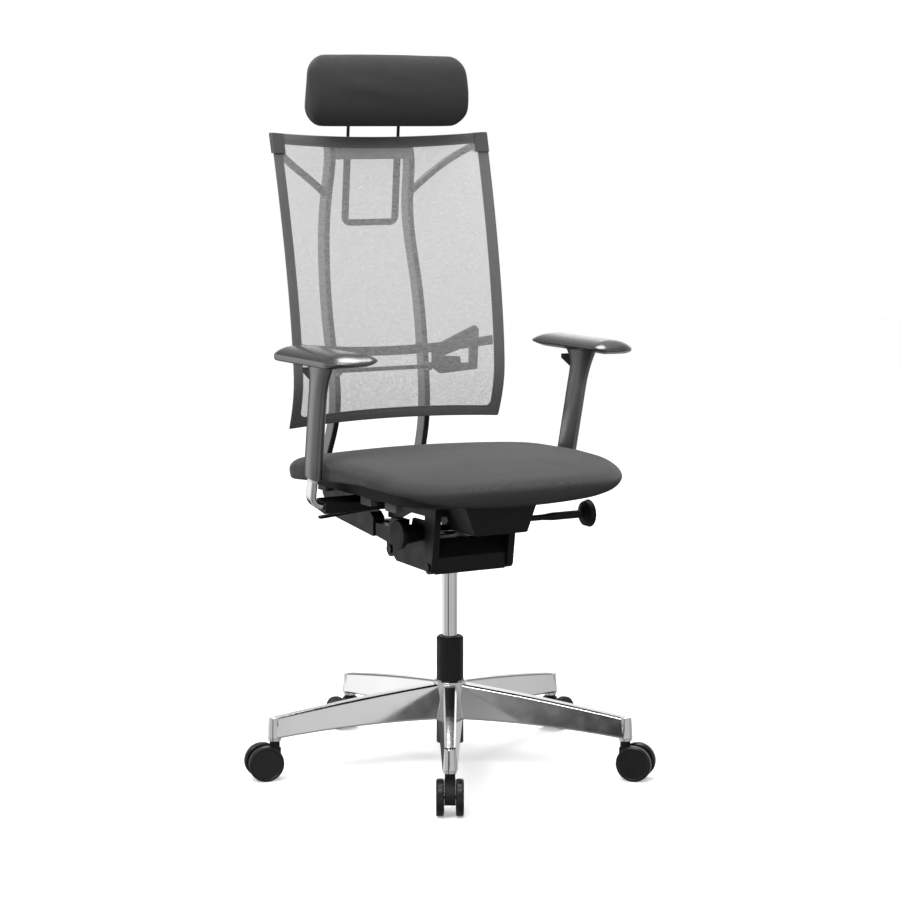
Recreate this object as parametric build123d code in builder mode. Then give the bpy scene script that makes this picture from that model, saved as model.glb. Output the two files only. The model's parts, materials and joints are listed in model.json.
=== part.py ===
from build123d import *
import math
import os

os.makedirs("parts", exist_ok=True)

# A swivel office chair with a mesh back, headrest and height-adjustable armrests.
# The chair faces -Y, +X is the sitter's left, +Z is up, and the origin is on the floor
# under the middle of the column. All sizes are in millimetres and degrees.

# ------------------------------------------------------------------ shared fits
running_clearance = 0.05
face_clearance = 0.3
side_clearance = 1.0

# ------------------------------------------------------------------ base and castors
arm_count = 5
first_arm_angle = 240
castor_circle_radius = 335
castor_shoulder_z = 71
wheel_radius = 32.5
wheel_width = 14
wheel_gap = 20
wheel_edge = 3
castor_trail = 20
axle_radius = 3
stem_radius = 5.5
stem_length = 22
hood_radius = 25
collar_radius = 9.3

hub_radius = 30
hub_bottom_z = 86
hub_top_z = 163
arm_root_radius = 18
arm_root_width = 48
arm_root_top_width = 26
arm_root_bottom_z = 92
arm_root_top_z = 157
arm_mid_bottom_z = 90
arm_mid_top_z = 138
arm_tip_width = 27
arm_tip_top_width = 19
arm_tip_bottom_z = 76
arm_tip_top_z = 114
arm_edge = 3
arm_wall = 5

# ------------------------------------------------------------------ gas spring
tube_radius = 25
tube_wall = 2
tube_bottom_z = 44
tube_top_z = 238
tube_floor = 4
bush_bottom_z = 160
bush_collar_height = 6
cylinder_radius = 14
cylinder_wall = 2
cylinder_bottom_z = 162
cylinder_top_z = 432
cylinder_cap = 8
release_pin_radius = 4
release_pin_height = 8
piston_rod_radius = 5
piston_rod_top_z = 200
rod_clip_radius = 11
rod_clip_height = 3

# ------------------------------------------------------------------ mechanism
housing_half_width = 72
housing_wall = 6
housing_front_y = -78
housing_rear_y = 87
housing_floor_z = 375
housing_rear_floor_z = 379
housing_rim_z = 446
housing_front_rim_z = 406
ear_top_z = 468
ear_front_y = -56
ear_rear_y = 12
column_boss_radius = 26
column_boss_top_z = 437
link_pin_y = -70
link_pin_z = 389
link_pin_radius = 5
recline_pin_y = 102
recline_pin_z = 397
recline_pin_radius = 6
tongue_half_width = 55
tongue_radius = 13
plate_gap = 1
link_thickness = 13
link_width = 25
front_cover_rear_y = -28
front_cover_top_z = 438
front_cover_thickness = 4
side_cover_inner_x = 79
side_cover_outer_x = 98
side_cover_root_z = 428
# distance back, height: the outline of the covers beside the housing
side_cover_outline = (
    (12, 436),
    (10, 466),
    (46, 466),
    (58, 448),
    (106, 448),
    (106, 424),
    (60, 418),
    (40, 418),
)

tension_y = -15
tension_z = 444
tension_knob_x = -120
tension_knob_radius = 27
tension_knob_depth = 8
tension_neck_radius = 19
tension_shaft_radius = 9
tension_shaft_end_x = -34
spring_y = -46
spring_z = 414
spring_radius = 15
spring_core_radius = 6
spring_half_length = 62
spring_coils = 12

lever_y = -40
lever_z = 456.5
lever_radius = 5.5
lever_grip_radius = 7.5
lever_knob_x = 281
lever_knob_radius = 26
lever_knob_depth = 14
lever_hole_clearance = 0.7
lever_finger_width = 12
lever_finger_thickness = 7

# ------------------------------------------------------------------ seat carrier and seat
carrier_front_y = -183
carrier_block_depth = 85
carrier_top_z = 514
carrier_bottom_z = 459
carrier_half_width = 75
carrier_bottom_half_width = 54
carrier_rear_y = 150
rail_bottom_z = 484
rail_width = 24
rail_cross_depth = 22
carrier_plate = 6
skirt_thickness = 2
skirt_middle_z = 478
skirt_rear_z = 458
skirt_rear_y = 100

lock_lever_y = 66
lock_lever_z = 489
lock_lever_tip_x = -236
lock_lever_tip_z = 474
lock_lever_width = 15
lock_lever_thickness = 4
lock_hub_radius = 6
lock_pin_radius = 3

seat_half_width = 248
seat_front_y = -282
seat_rear_y = 197
seat_front_corner = 100
seat_rear_corner = 36
seat_rear_taper = 6
seat_front_bow = 22
pan_inset = 6
pan_shoulder_inset = 32
pan_shoulder_z = 526
pan_bottom_inset = 80
pan_wall = 4
pan_rim_limit_z = 560
cushion_bottom_z = 520
cushion_side_z = 566
cushion_top_z = 590
cushion_edge = 36
cushion_edge_drop = 19
# distance back, height: the line where the cushion meets the seat pan
rim_line = (
    (-300, 503),
    (-270, 528),
    (-234, 545),
    (-190, 550),
    (-116, 553),
    (-35, 548),
    (112, 535),
    (215, 527),
)
# distance back, height: the top of the cushion along its middle
cushion_line = ((-300, 556), (-225, 578), (-160, 587), (-70, 590), (70, 588), (215, 573))

button_length = 40
button_height = 17
button_depth = 12
button_travel = 3
seat_button_x = -205
seat_button_z = 518.5
depth_button_y = -56
tilt_button_y = -147

# ------------------------------------------------------------------ back
back_half_width = 231
back_bottom_half_width = 226
back_top_z = 1166
back_top_dip = 9
back_bottom_z = 620
back_bottom_rise = 6
back_sag = 24
lumbar_y = 181
lumbar_z = 715
back_lean = 80
back_lean_power = 1.5
back_tuck = 23
back_tuck_power = 1.8
band_width = 21
band_corner = 8
band_front = 1
band_back = 2.5
mesh_thickness = 1.2
cap_width = 26
cap_height = 38
cap_front = 3.5
cap_back = 9.5
upright_width = 12
upright_depth = 30
upright_corner = 3
branch_radius = 7
branch_root_z = 1046
branch_tip_z = 1142
# distance out, distance back, height
branch_middle = (130, 314, 1081)
branch_knee = (172, 308, 1111)
beam_bottom_z = 1115
beam_height = 24
beam_front_y = 287
beam_depth = 24
# height, distance from the middle plane, distance back
upright_stations = (
    (500, 101, 298),
    (585, 101, 284),
    (680, 97, 269),
    (760, 99, 281),
    (850, 100, 298),
    (930, 96, 313),
    (1050, 88, 317),
    (1145, 83, 316),
)

carrier_lug_outer_x = 70
carrier_lug_radius = 14
carrier_shoulder_y = 112
carrier_shoulder_depth = 18
carrier_arm_inner_x = 76
carrier_arm_outer_x = 100
carrier_arm_bottom_z = 422
carrier_arm_height = 44
carrier_inner_top_z = 450
carrier_web_bottom_z = 452
carrier_web_height = 20
carrier_web_depth = 34
socket_bottom_z = 486
socket_top_z = 556
socket_wall = 5

crossbar_z = 756
crossbar_rise = 13
crossbar_height = 17
crossbar_thickness = 6
standoff_x = 92
standoff_radius = 6.5
lumbar_rod_y = 251
lumbar_rod_z = 718
lumbar_rod_radius = 4
lumbar_lug = 8
lumbar_lever_x = 106
lumbar_lever_width = 101
lumbar_lever_height = 90
lumbar_lever_drop = 15
lumbar_lever_thickness = 9

# ------------------------------------------------------------------ headrest
post_x = 54
post_radius = 3
post_lean = 5
post_length = 98
loop_bar_width = 12
loop_length = 252
loop_corner = 18
headrest_axle_y = 285.5
headrest_axle_z = 1240
headrest_half_width = 166
headrest_bottom_z = 1177
headrest_top_z = 1309
headrest_front_y = 214
headrest_wrap = 12
headrest_edge = 26
shell_half_width = 105
shell_height = 88
shell_thickness = 8
shell_gap = 12
clip_radius = 10
clip_half_width = 34

# ------------------------------------------------------------------ armrests
post_foot_x = 268
post_foot_y = 27
post_foot_z = 555
lean_forward = 12
lean_out = 2
sleeve_half_width = 14
sleeve_half_depth = 28
sleeve_length = 168
inner_half_width = 8
inner_half_depth = 19
inner_length = 150
inner_clearance = 0.1
bracket_thickness = 12
bracket_width = 26
bracket_root = 6
bracket_drop = 60
bracket_bend = 26
bracket_edge = 5
arm_cover_start_x = 90
arm_cover_end_x = 246
arm_cover_depth = 36
arm_cover_above = 1.5
arm_cover_below = 7
arm_cover_edge = 3
pad_width = 95
pad_length = 262
pad_x = 270
pad_y = -24
pad_bottom_z = 758
pad_height = 31
pad_corner = 38
pad_top_fall = 12
pad_top_run = 21
pad_bottom_rise = 11
pad_bottom_run = 18
neck_x = 273
neck_y = -16
neck_half_depth = 48
arm_button_half_width = 9
arm_button_front_y = 6
arm_button_rear_y = 38
arm_button_bottom_z = 730
arm_button_lip_z = 744
arm_button_top_z = 752

sides = (("left", 1), ("right", -1))


# ================================================================== base
def arm_section(radius, bottom_width, top_width, bottom_z, top_z):
    """A die-cast arm's section: a trapezium with bevelled edges, square to the arm."""
    with BuildSketch(Plane.YZ.offset(radius)) as section:
        with BuildLine():
            Polyline(
                (-bottom_width / 2 + arm_edge / 2, bottom_z),
                (bottom_width / 2 - arm_edge / 2, bottom_z),
                (bottom_width / 2, bottom_z + arm_edge),
                (top_width / 2, top_z - arm_edge),
                (top_width / 2 - arm_edge, top_z),
                (-top_width / 2 + arm_edge, top_z),
                (-top_width / 2, top_z - arm_edge),
                (-bottom_width / 2, bottom_z + arm_edge),
                close=True,
            )
        make_face()
    return section.sketch


arm_mid_radius = (arm_root_radius + castor_circle_radius) / 2
arm_mid_width = (arm_root_width + arm_tip_width) / 2
arm_mid_top_width = (arm_root_top_width + arm_tip_top_width) / 2
boss_radius = arm_tip_width / 2 - 1.5

with BuildPart() as arm_blank:
    loft(
        sections=[
            arm_section(
                arm_root_radius, arm_root_width, arm_root_top_width, arm_root_bottom_z, arm_root_top_z
            ),
            arm_section(arm_mid_radius, arm_mid_width, arm_mid_top_width, arm_mid_bottom_z, arm_mid_top_z),
            arm_section(
                castor_circle_radius, arm_tip_width, arm_tip_top_width, arm_tip_bottom_z, arm_tip_top_z
            ),
        ]
    )
    with BuildSketch(Plane.XY.offset(arm_tip_bottom_z)):
        with Locations((castor_circle_radius, 0)):
            Circle(arm_tip_width / 2)
    extrude(amount=arm_tip_top_z - arm_tip_bottom_z, taper=4)
    with BuildSketch(Plane.XY.offset(castor_shoulder_z)):
        with Locations((castor_circle_radius, 0)):
            Circle(boss_radius)
    extrude(amount=arm_tip_bottom_z - castor_shoulder_z + arm_edge)

pocket_start = hub_radius + arm_wall
pocket_end = castor_circle_radius - arm_tip_width / 2 - arm_wall
pocket_root_width = arm_root_width - 4 * arm_wall
pocket_tip_width = arm_tip_width - 3 * arm_wall

with BuildPart() as arm_pocket:
    with BuildSketch(Plane.XY.offset(arm_tip_bottom_z - arm_edge)):
        with BuildLine():
            Polyline(
                (pocket_start, -pocket_root_width / 2),
                (pocket_end, -pocket_tip_width / 2),
                (pocket_end, pocket_tip_width / 2),
                (pocket_start, pocket_root_width / 2),
                close=True,
            )
        make_face()
    extrude(amount=(arm_tip_top_z - arm_tip_bottom_z) - arm_wall)

with BuildPart() as base_star:
    with BuildSketch(Plane.XY.offset(hub_bottom_z)):
        Circle(hub_radius)
    extrude(amount=hub_top_z - hub_bottom_z)
    chamfer(base_star.edges().filter_by(GeomType.CIRCLE), length=3)
    with PolarLocations(0, arm_count, start_angle=first_arm_angle):
        add(arm_blank.part)
    with PolarLocations(0, arm_count, start_angle=first_arm_angle):
        add(arm_pocket.part, mode=Mode.SUBTRACT)
    with BuildSketch(Plane.XY.offset(tube_bottom_z)):
        Circle(tube_radius)
    extrude(amount=hub_top_z - tube_bottom_z, mode=Mode.SUBTRACT)
    with BuildSketch(Plane.XY.offset(castor_shoulder_z)):
        with PolarLocations(castor_circle_radius, arm_count, start_angle=first_arm_angle):
            Circle(stem_radius + running_clearance)
    extrude(amount=stem_length + 1, mode=Mode.SUBTRACT)
base_star.part.label = "base_star"
export_step(base_star.part, "parts/base_star.step")


# ================================================================== gas spring
tube_inner_radius = tube_radius - tube_wall

with BuildPart() as gas_tube:
    with BuildSketch(Plane.XY.offset(tube_bottom_z)):
        Circle(tube_radius)
    extrude(amount=tube_top_z - tube_bottom_z)
    with BuildSketch(Plane.XY.offset(tube_bottom_z + tube_floor)):
        Circle(tube_inner_radius)
    extrude(amount=tube_top_z - tube_bottom_z, mode=Mode.SUBTRACT)
    with BuildSketch(Plane.XY.offset(tube_bottom_z)):
        Circle(piston_rod_radius)
    extrude(amount=tube_floor, mode=Mode.SUBTRACT)
gas_tube.part.label = "gas_tube"
export_step(gas_tube.part, "parts/gas_tube.step")

with BuildPart() as tube_bush:
    with BuildSketch(Plane.XY.offset(bush_bottom_z)):
        Circle(tube_inner_radius)
    extrude(amount=tube_top_z - bush_bottom_z)
    with BuildSketch(Plane.XY.offset(tube_top_z)):
        Circle(tube_radius)
    extrude(amount=bush_collar_height)
    chamfer(tube_bush.edges().filter_by(GeomType.CIRCLE).sort_by(Axis.Z)[-1], length=3)
    with BuildSketch(Plane.XY.offset(bush_bottom_z)):
        Circle(cylinder_radius + running_clearance)
    extrude(amount=tube_top_z + bush_collar_height - bush_bottom_z, mode=Mode.SUBTRACT)
tube_bush.part.label = "tube_bush"
export_step(tube_bush.part, "parts/tube_bush.step")

with BuildPart() as piston_rod:
    with BuildSketch(Plane.XY.offset(tube_bottom_z - rod_clip_height)):
        Circle(piston_rod_radius)
    extrude(amount=piston_rod_top_z - tube_bottom_z + rod_clip_height)
    chamfer(piston_rod.edges().filter_by(GeomType.CIRCLE).sort_by(Axis.Z)[-1], length=1)
piston_rod.part.label = "piston_rod"
export_step(piston_rod.part, "parts/piston_rod.step")

with BuildPart() as rod_clip:
    with BuildSketch(Plane.XY.offset(tube_bottom_z - rod_clip_height)):
        Circle(rod_clip_radius)
        Circle(piston_rod_radius, mode=Mode.SUBTRACT)
    extrude(amount=rod_clip_height)
rod_clip.part.label = "rod_clip"
export_step(rod_clip.part, "parts/rod_clip.step")

with BuildPart() as gas_cylinder:
    with BuildSketch(Plane.XY.offset(cylinder_bottom_z)):
        Circle(cylinder_radius)
    extrude(amount=cylinder_top_z - cylinder_bottom_z)
    with BuildSketch(Plane.XY.offset(cylinder_bottom_z + cylinder_cap)):
        Circle(cylinder_radius - cylinder_wall)
    extrude(amount=cylinder_top_z - cylinder_bottom_z - 2 * cylinder_cap, mode=Mode.SUBTRACT)
    with BuildSketch(Plane.XY.offset(cylinder_bottom_z)):
        Circle(piston_rod_radius + running_clearance)
    extrude(amount=cylinder_cap, mode=Mode.SUBTRACT)
    with BuildSketch(Plane.XY.offset(cylinder_top_z)):
        Circle(release_pin_radius)
    extrude(amount=release_pin_height)
gas_cylinder.part.label = "gas_cylinder"
export_step(gas_cylinder.part, "parts/gas_cylinder.step")


# ================================================================== castors
web_half_width = wheel_gap / 2 - face_clearance
axle_half_length = wheel_gap / 2 + wheel_width * 0.7


def castor_frame(angle):
    """Directions and centre of one castor: outwards, along its axle, and its pivot."""
    outward = Vector(math.cos(math.radians(angle)), math.sin(math.radians(angle)), 0)
    along_axle = Vector(-outward.Y, outward.X, 0)
    return outward, along_axle, outward * castor_circle_radius


def make_castor(number, angle):
    """Housing, pins and twin wheels of one castor, which trails away from the column."""
    outward, along_axle, pivot = castor_frame(angle)
    axle_centre = pivot + outward * castor_trail + Vector(0, 0, wheel_radius)
    side_plane = Plane(origin=pivot, x_dir=outward, z_dir=-along_axle)
    axle_plane = Plane(origin=axle_centre, x_dir=along_axle, z_dir=outward)
    axle_side_plane = Plane(origin=axle_centre, x_dir=outward, z_dir=-along_axle)
    stem_plane = Plane(origin=pivot + Vector(0, 0, castor_shoulder_z - stem_length), z_dir=(0, 0, 1))

    with BuildPart() as housing:
        with BuildSketch(side_plane):
            with Locations((castor_trail, wheel_radius)):
                Circle(hood_radius)
            with BuildLine():
                Polyline(
                    (-collar_radius, castor_shoulder_z - 12),
                    (-collar_radius, wheel_radius + 2),
                    (castor_trail, wheel_radius - 8),
                    (castor_trail, wheel_radius + hood_radius),
                    (collar_radius, castor_shoulder_z - 10),
                    close=True,
                )
            make_face()
            with Locations((castor_trail, wheel_radius - hood_radius)):
                Rectangle(4 * hood_radius, 2 * hood_radius - 16, mode=Mode.SUBTRACT)
        extrude(amount=web_half_width, both=True)
        with BuildSketch(Plane(origin=pivot + Vector(0, 0, wheel_radius + 4), z_dir=(0, 0, 1))):
            Circle(collar_radius)
        extrude(amount=castor_shoulder_z - face_clearance - wheel_radius - 4)
        with BuildSketch(stem_plane):
            Circle(stem_radius)
        extrude(amount=2 * stem_length, mode=Mode.SUBTRACT)
        with BuildSketch(axle_side_plane):
            Circle(axle_radius)
        extrude(amount=wheel_gap, both=True, mode=Mode.SUBTRACT)
    housing.part.label = f"castor_{number}_housing"
    export_step(housing.part, f"parts/castor_{number}_housing.step")

    with BuildPart() as pins:
        with BuildSketch(axle_side_plane):
            Circle(axle_radius)
        extrude(amount=axle_half_length, both=True)
        with BuildSketch(stem_plane):
            Circle(stem_radius)
        extrude(amount=2 * stem_length)
    pins.part.label = f"castor_{number}_pins"
    export_step(pins.part, f"parts/castor_{number}_pins.step")

    for wheel_name, direction in (("wheel_a", 1), ("wheel_b", -1)):
        inner = direction * wheel_gap / 2
        outer = direction * (wheel_gap / 2 + wheel_width)
        bore_end = direction * (axle_half_length + side_clearance)
        edge = direction * wheel_edge
        with BuildPart() as wheel:
            with BuildSketch(axle_plane):
                with BuildLine():
                    Polyline(
                        (inner, axle_radius + running_clearance),
                        (inner, wheel_radius - wheel_edge),
                        (inner + edge / 2, wheel_radius - wheel_edge / 4),
                        (inner + edge, wheel_radius),
                        (outer - edge, wheel_radius),
                        (outer - edge / 3, wheel_radius - wheel_edge / 3),
                        (outer, wheel_radius - wheel_edge),
                        (outer, wheel_radius - wheel_edge - 1.5),
                        (outer - edge / 3, wheel_radius - wheel_edge - 2.5),
                        (outer - edge / 3, 0),
                        (bore_end, 0),
                        (bore_end, axle_radius + running_clearance),
                        close=True,
                    )
                make_face()
            revolve(axis=Axis(axle_centre, along_axle))
        wheel.part.label = f"castor_{number}_{wheel_name}"
        export_step(wheel.part, f"parts/castor_{number}_{wheel_name}.step")


for castor_number in range(arm_count):
    make_castor(castor_number + 1, first_arm_angle + castor_number * 360 / arm_count)


# ================================================================== mechanism
with BuildPart() as mech_housing:
    with BuildSketch(Plane.YZ):
        with BuildLine():
            Polyline(
                (housing_front_y, housing_floor_z),
                (housing_rear_y - 12, housing_rear_floor_z),
                (housing_rear_y, housing_rear_floor_z + 10),
                (housing_rear_y, housing_rim_z - 22),
                (housing_rear_y - 8, housing_rim_z - 4),
                (ear_rear_y + 8, housing_rim_z),
                (ear_rear_y, ear_top_z),
                (ear_front_y + 4, ear_top_z),
                (ear_front_y, housing_rim_z - 4),
                (housing_front_y, housing_front_rim_z),
                close=True,
            )
        make_face()
    extrude(amount=housing_half_width, both=True)
    fillet(mech_housing.edges().filter_by(Axis.X).group_by(Axis.Z)[0], radius=6)
    inner_length_y = housing_rear_y - housing_front_y - 2 * housing_wall
    with BuildSketch(Plane.XY.offset(housing_rear_floor_z + housing_wall)):
        with Locations((0, (housing_front_y + housing_rear_y) / 2)):
            Rectangle(2 * (housing_half_width - housing_wall), inner_length_y)
    extrude(amount=ear_top_z - housing_floor_z, mode=Mode.SUBTRACT)
    with BuildSketch(Plane.XY.offset(housing_rear_floor_z)):
        Circle(column_boss_radius)
    extrude(amount=column_boss_top_z - housing_rear_floor_z)
    tongue_length = recline_pin_y - housing_rear_y + housing_wall
    with BuildSketch(Plane.YZ):
        with Locations((recline_pin_y, recline_pin_z)):
            Circle(tongue_radius)
        with Locations((recline_pin_y - tongue_length / 2, recline_pin_z)):
            Rectangle(tongue_length, 2 * tongue_radius)
    extrude(amount=tongue_half_width, both=True)
    with BuildSketch(Plane.XY.offset(housing_floor_z)):
        Circle(cylinder_radius + running_clearance)
    extrude(amount=ear_top_z - housing_floor_z, mode=Mode.SUBTRACT)
    with BuildSketch(Plane.YZ):
        with BuildLine():
            Polyline(
                (housing_front_y, housing_front_rim_z - front_cover_thickness),
                (housing_front_y, housing_front_rim_z),
                (ear_front_y - 2, front_cover_top_z),
                (front_cover_rear_y, front_cover_top_z),
                (front_cover_rear_y, front_cover_top_z - front_cover_thickness),
                (ear_front_y, front_cover_top_z - front_cover_thickness),
                (housing_front_y + housing_wall, housing_front_rim_z - front_cover_thickness),
                close=True,
            )
        make_face()
    extrude(amount=housing_half_width, both=True)
    for side_name, side in sides:
        with BuildSketch(Plane.YZ.offset(side * housing_half_width)):
            with BuildLine():
                Polyline(*side_cover_outline, close=True)
            make_face()
        extrude(amount=side * (side_cover_outer_x - housing_half_width))
        with BuildSketch(Plane.XY.offset(side_cover_root_z)):
            with Locations((side * (housing_half_width + side_cover_inner_x) / 2, recline_pin_y / 2)):
                Rectangle(side_cover_inner_x - housing_half_width, 2 * recline_pin_y)
        extrude(amount=ear_top_z - side_cover_root_z, mode=Mode.SUBTRACT)
    for pin_y, pin_z, pin_radius in (
        (link_pin_y, link_pin_z, link_pin_radius),
        (recline_pin_y, recline_pin_z, recline_pin_radius),
        (spring_y, spring_z, spring_core_radius),
    ):
        with BuildSketch(Plane.YZ):
            with Locations((pin_y, pin_z)):
                Circle(pin_radius)
        extrude(amount=housing_half_width, both=True, mode=Mode.SUBTRACT)
    with BuildSketch(Plane.YZ):
        with Locations((tension_y, tension_z)):
            Circle(tension_shaft_radius + running_clearance)
    extrude(amount=-housing_half_width, mode=Mode.SUBTRACT)
    with BuildSketch(Plane.YZ):
        with Locations((lever_y, lever_z)):
            Circle(lever_radius + lever_hole_clearance)
    extrude(amount=housing_half_width, mode=Mode.SUBTRACT)
mech_housing.part.label = "mech_housing"
export_step(mech_housing.part, "parts/mech_housing.step")

link_outer_x = housing_half_width + plate_gap + link_thickness
pin_head_height = 3

with BuildPart() as pivot_pins:
    for pin_y, pin_z, pin_radius, joined_x in (
        (link_pin_y, link_pin_z, link_pin_radius, link_outer_x),
        (recline_pin_y, recline_pin_z, recline_pin_radius, carrier_lug_outer_x),
    ):
        pin_half_length = joined_x + face_clearance
        with BuildSketch(Plane.YZ):
            with Locations((pin_y, pin_z)):
                Circle(pin_radius)
        extrude(amount=pin_half_length, both=True)
        for end_x in (pin_half_length, -pin_half_length - pin_head_height):
            with BuildSketch(Plane.YZ.offset(end_x)):
                with Locations((pin_y, pin_z)):
                    Circle(pin_radius + 2.5)
            extrude(amount=pin_head_height)
pivot_pins.part.label = "pivot_pins"
export_step(pivot_pins.part, "parts/pivot_pins.step")

coil_pitch = 2 * spring_half_length / spring_coils
with BuildPart() as tension_spring:
    with BuildSketch(Plane.YZ):
        with Locations((spring_y, spring_z)):
            Circle(spring_core_radius)
    extrude(amount=housing_half_width, both=True)
    for coil in range(spring_coils):
        coil_x = -spring_half_length + (coil + 0.1) * coil_pitch
        with BuildSketch(Plane.YZ.offset(coil_x)):
            with Locations((spring_y, spring_z)):
                Circle(spring_radius)
        extrude(amount=0.8 * coil_pitch)
tension_spring.part.label = "tension_spring"
export_step(tension_spring.part, "parts/tension_spring.step")

with BuildPart() as tension_knob:
    with BuildSketch(Plane.XZ.offset(-tension_y)):
        with BuildLine():
            Polyline(
                (tension_knob_x, tension_z),
                (tension_knob_x, tension_z + tension_knob_radius - 1.5),
                (tension_knob_x + 1.5, tension_z + tension_knob_radius),
                (tension_knob_x + tension_knob_depth, tension_z + tension_knob_radius),
                (tension_knob_x + tension_knob_depth + 3, tension_z + tension_neck_radius),
                (-housing_half_width - side_clearance, tension_z + tension_neck_radius - 4),
                (-housing_half_width - side_clearance, tension_z + tension_shaft_radius),
                (tension_shaft_end_x, tension_z + tension_shaft_radius),
                (tension_shaft_end_x, tension_z),
                close=True,
            )
        make_face()
    revolve(axis=Axis((0, tension_y, tension_z), (1, 0, 0)))
tension_knob.part.label = "tension_knob"
export_step(tension_knob.part, "parts/tension_knob.step")

finger_bottom_z = lever_z - lever_finger_thickness
rod_inner_x = housing_half_width - housing_wall - lever_finger_width - 2 * side_clearance
finger_root_x = rod_inner_x + lever_radius
finger_reach = math.hypot(finger_root_x, lever_y)
finger_angle = math.degrees(math.atan2(lever_y, finger_root_x))

with BuildPart() as height_lever:
    with BuildSketch(Plane.XZ.offset(-lever_y)):
        with BuildLine():
            Polyline(
                (rod_inner_x, lever_z),
                (rod_inner_x, lever_z + lever_radius),
                (lever_knob_x * 0.62, lever_z + lever_radius),
                (lever_knob_x * 0.7, lever_z + lever_grip_radius),
                (lever_knob_x - lever_knob_depth - 8, lever_z + lever_grip_radius),
                (lever_knob_x - lever_knob_depth - 8, lever_z),
                close=True,
            )
        make_face()
    revolve(axis=Axis((0, lever_y, lever_z), (1, 0, 0)))
    with BuildSketch(Plane.XY.offset(finger_bottom_z)):
        with Locations((finger_root_x / 2, lever_y / 2)):
            SlotCenterToCenter(finger_reach, lever_finger_width, rotation=finger_angle)
    extrude(amount=lever_finger_thickness)
height_lever.part.label = "height_lever"
export_step(height_lever.part, "parts/height_lever.step")

with BuildPart() as height_knob:
    with BuildSketch(Plane.XZ.offset(-lever_y)):
        with BuildLine():
            Polyline(
                (lever_knob_x, lever_z),
                (lever_knob_x - 1, lever_z + lever_knob_radius - 3),
                (lever_knob_x - 3, lever_z + lever_knob_radius),
                (lever_knob_x - lever_knob_depth + 1, lever_z + lever_knob_radius - 3),
                (lever_knob_x - lever_knob_depth - 8, lever_z + lever_grip_radius + 2),
                (lever_knob_x - lever_knob_depth - 8, lever_z),
                close=True,
            )
        make_face()
    revolve(axis=Axis((0, lever_y, lever_z), (1, 0, 0)))
height_knob.part.label = "height_knob"
export_step(height_knob.part, "parts/height_knob.step")


# ================================================================== seat carrier
with BuildPart() as seat_carrier:
    with BuildSketch(Plane.XZ.offset(-carrier_front_y)):
        with BuildLine():
            Polyline(
                (-carrier_half_width, carrier_top_z),
                (-carrier_bottom_half_width, carrier_bottom_z),
                (carrier_bottom_half_width, carrier_bottom_z),
                (carrier_half_width, carrier_top_z),
                close=True,
            )
        make_face()
    extrude(amount=-carrier_block_depth)
    fillet(seat_carrier.edges().filter_by(Axis.Y), radius=5)
    rail_length = carrier_rear_y - carrier_front_y - carrier_block_depth
    rail_middle_y = carrier_rear_y - rail_length / 2
    for side_name, side in sides:
        with BuildSketch(Plane.XY.offset(rail_bottom_z)):
            with Locations((side * (carrier_half_width - rail_width / 2), rail_middle_y)):
                Rectangle(rail_width, rail_length)
        extrude(amount=carrier_top_z - rail_bottom_z)
        with BuildSketch(Plane.YZ.offset(side * (housing_half_width + plate_gap))):
            with BuildLine():
                Polyline(
                    (link_pin_y - link_width / 2, link_pin_z),
                    (carrier_front_y + carrier_block_depth - 2, carrier_top_z - 2),
                    (link_pin_y + link_width / 2, carrier_top_z - 2),
                    (link_pin_y + link_width / 2, link_pin_z),
                    close=True,
                )
            make_face()
            with Locations((link_pin_y, link_pin_z)):
                Circle(link_width / 2)
                Circle(link_pin_radius + running_clearance, mode=Mode.SUBTRACT)
        extrude(amount=side * link_thickness)
        with BuildSketch(Plane.YZ.offset(side * (housing_half_width + plate_gap))):
            with BuildLine():
                Polyline(
                    (link_pin_y, carrier_top_z),
                    (link_pin_y, skirt_middle_z),
                    (ear_rear_y, skirt_middle_z),
                    (ear_rear_y + 2 * link_width, skirt_rear_z),
                    (skirt_rear_y, skirt_rear_z),
                    (skirt_rear_y, carrier_top_z),
                    close=True,
                )
            make_face()
        extrude(amount=side * skirt_thickness)
        with BuildSketch(Plane.YZ.offset(side * (carrier_half_width - 4))):
            with Locations((link_pin_y - 4, (rail_bottom_z + carrier_top_z) / 2 + 6)):
                Rectangle(link_width, (carrier_top_z - rail_bottom_z) / 2)
        extrude(amount=side * 8)
    with BuildSketch(Plane.XY.offset(rail_bottom_z)):
        with Locations((0, carrier_rear_y - rail_cross_depth / 2)):
            Rectangle(2 * carrier_half_width, rail_cross_depth)
    extrude(amount=carrier_top_z - rail_bottom_z)
    with BuildSketch(Plane.XY.offset(carrier_top_z - carrier_plate)):
        with Locations((0, rail_middle_y)):
            Rectangle(2 * carrier_half_width, rail_length)
    extrude(amount=carrier_plate)
    with BuildSketch(Plane.XZ.offset(-lock_lever_y)):
        with Locations((-carrier_half_width - lock_hub_radius - 1, lock_lever_z)):
            Circle(lock_pin_radius)
    extrude(amount=lock_lever_width / 2 + 2, both=True)
    for ear_y in (lock_lever_y - lock_lever_width / 2 - 4, lock_lever_y + lock_lever_width / 2 + 1):
        with BuildSketch(Plane.XZ.offset(-ear_y)):
            with Locations((-carrier_half_width - lock_hub_radius - 1, lock_lever_z)):
                Circle(lock_hub_radius)
            with Locations((-carrier_half_width - lock_hub_radius / 2, lock_lever_z + lock_hub_radius)):
                Rectangle(lock_hub_radius + 4, 2 * lock_hub_radius)
        extrude(amount=-3)
seat_carrier.part.label = "seat_carrier"
export_step(seat_carrier.part, "parts/seat_carrier.step")

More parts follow.
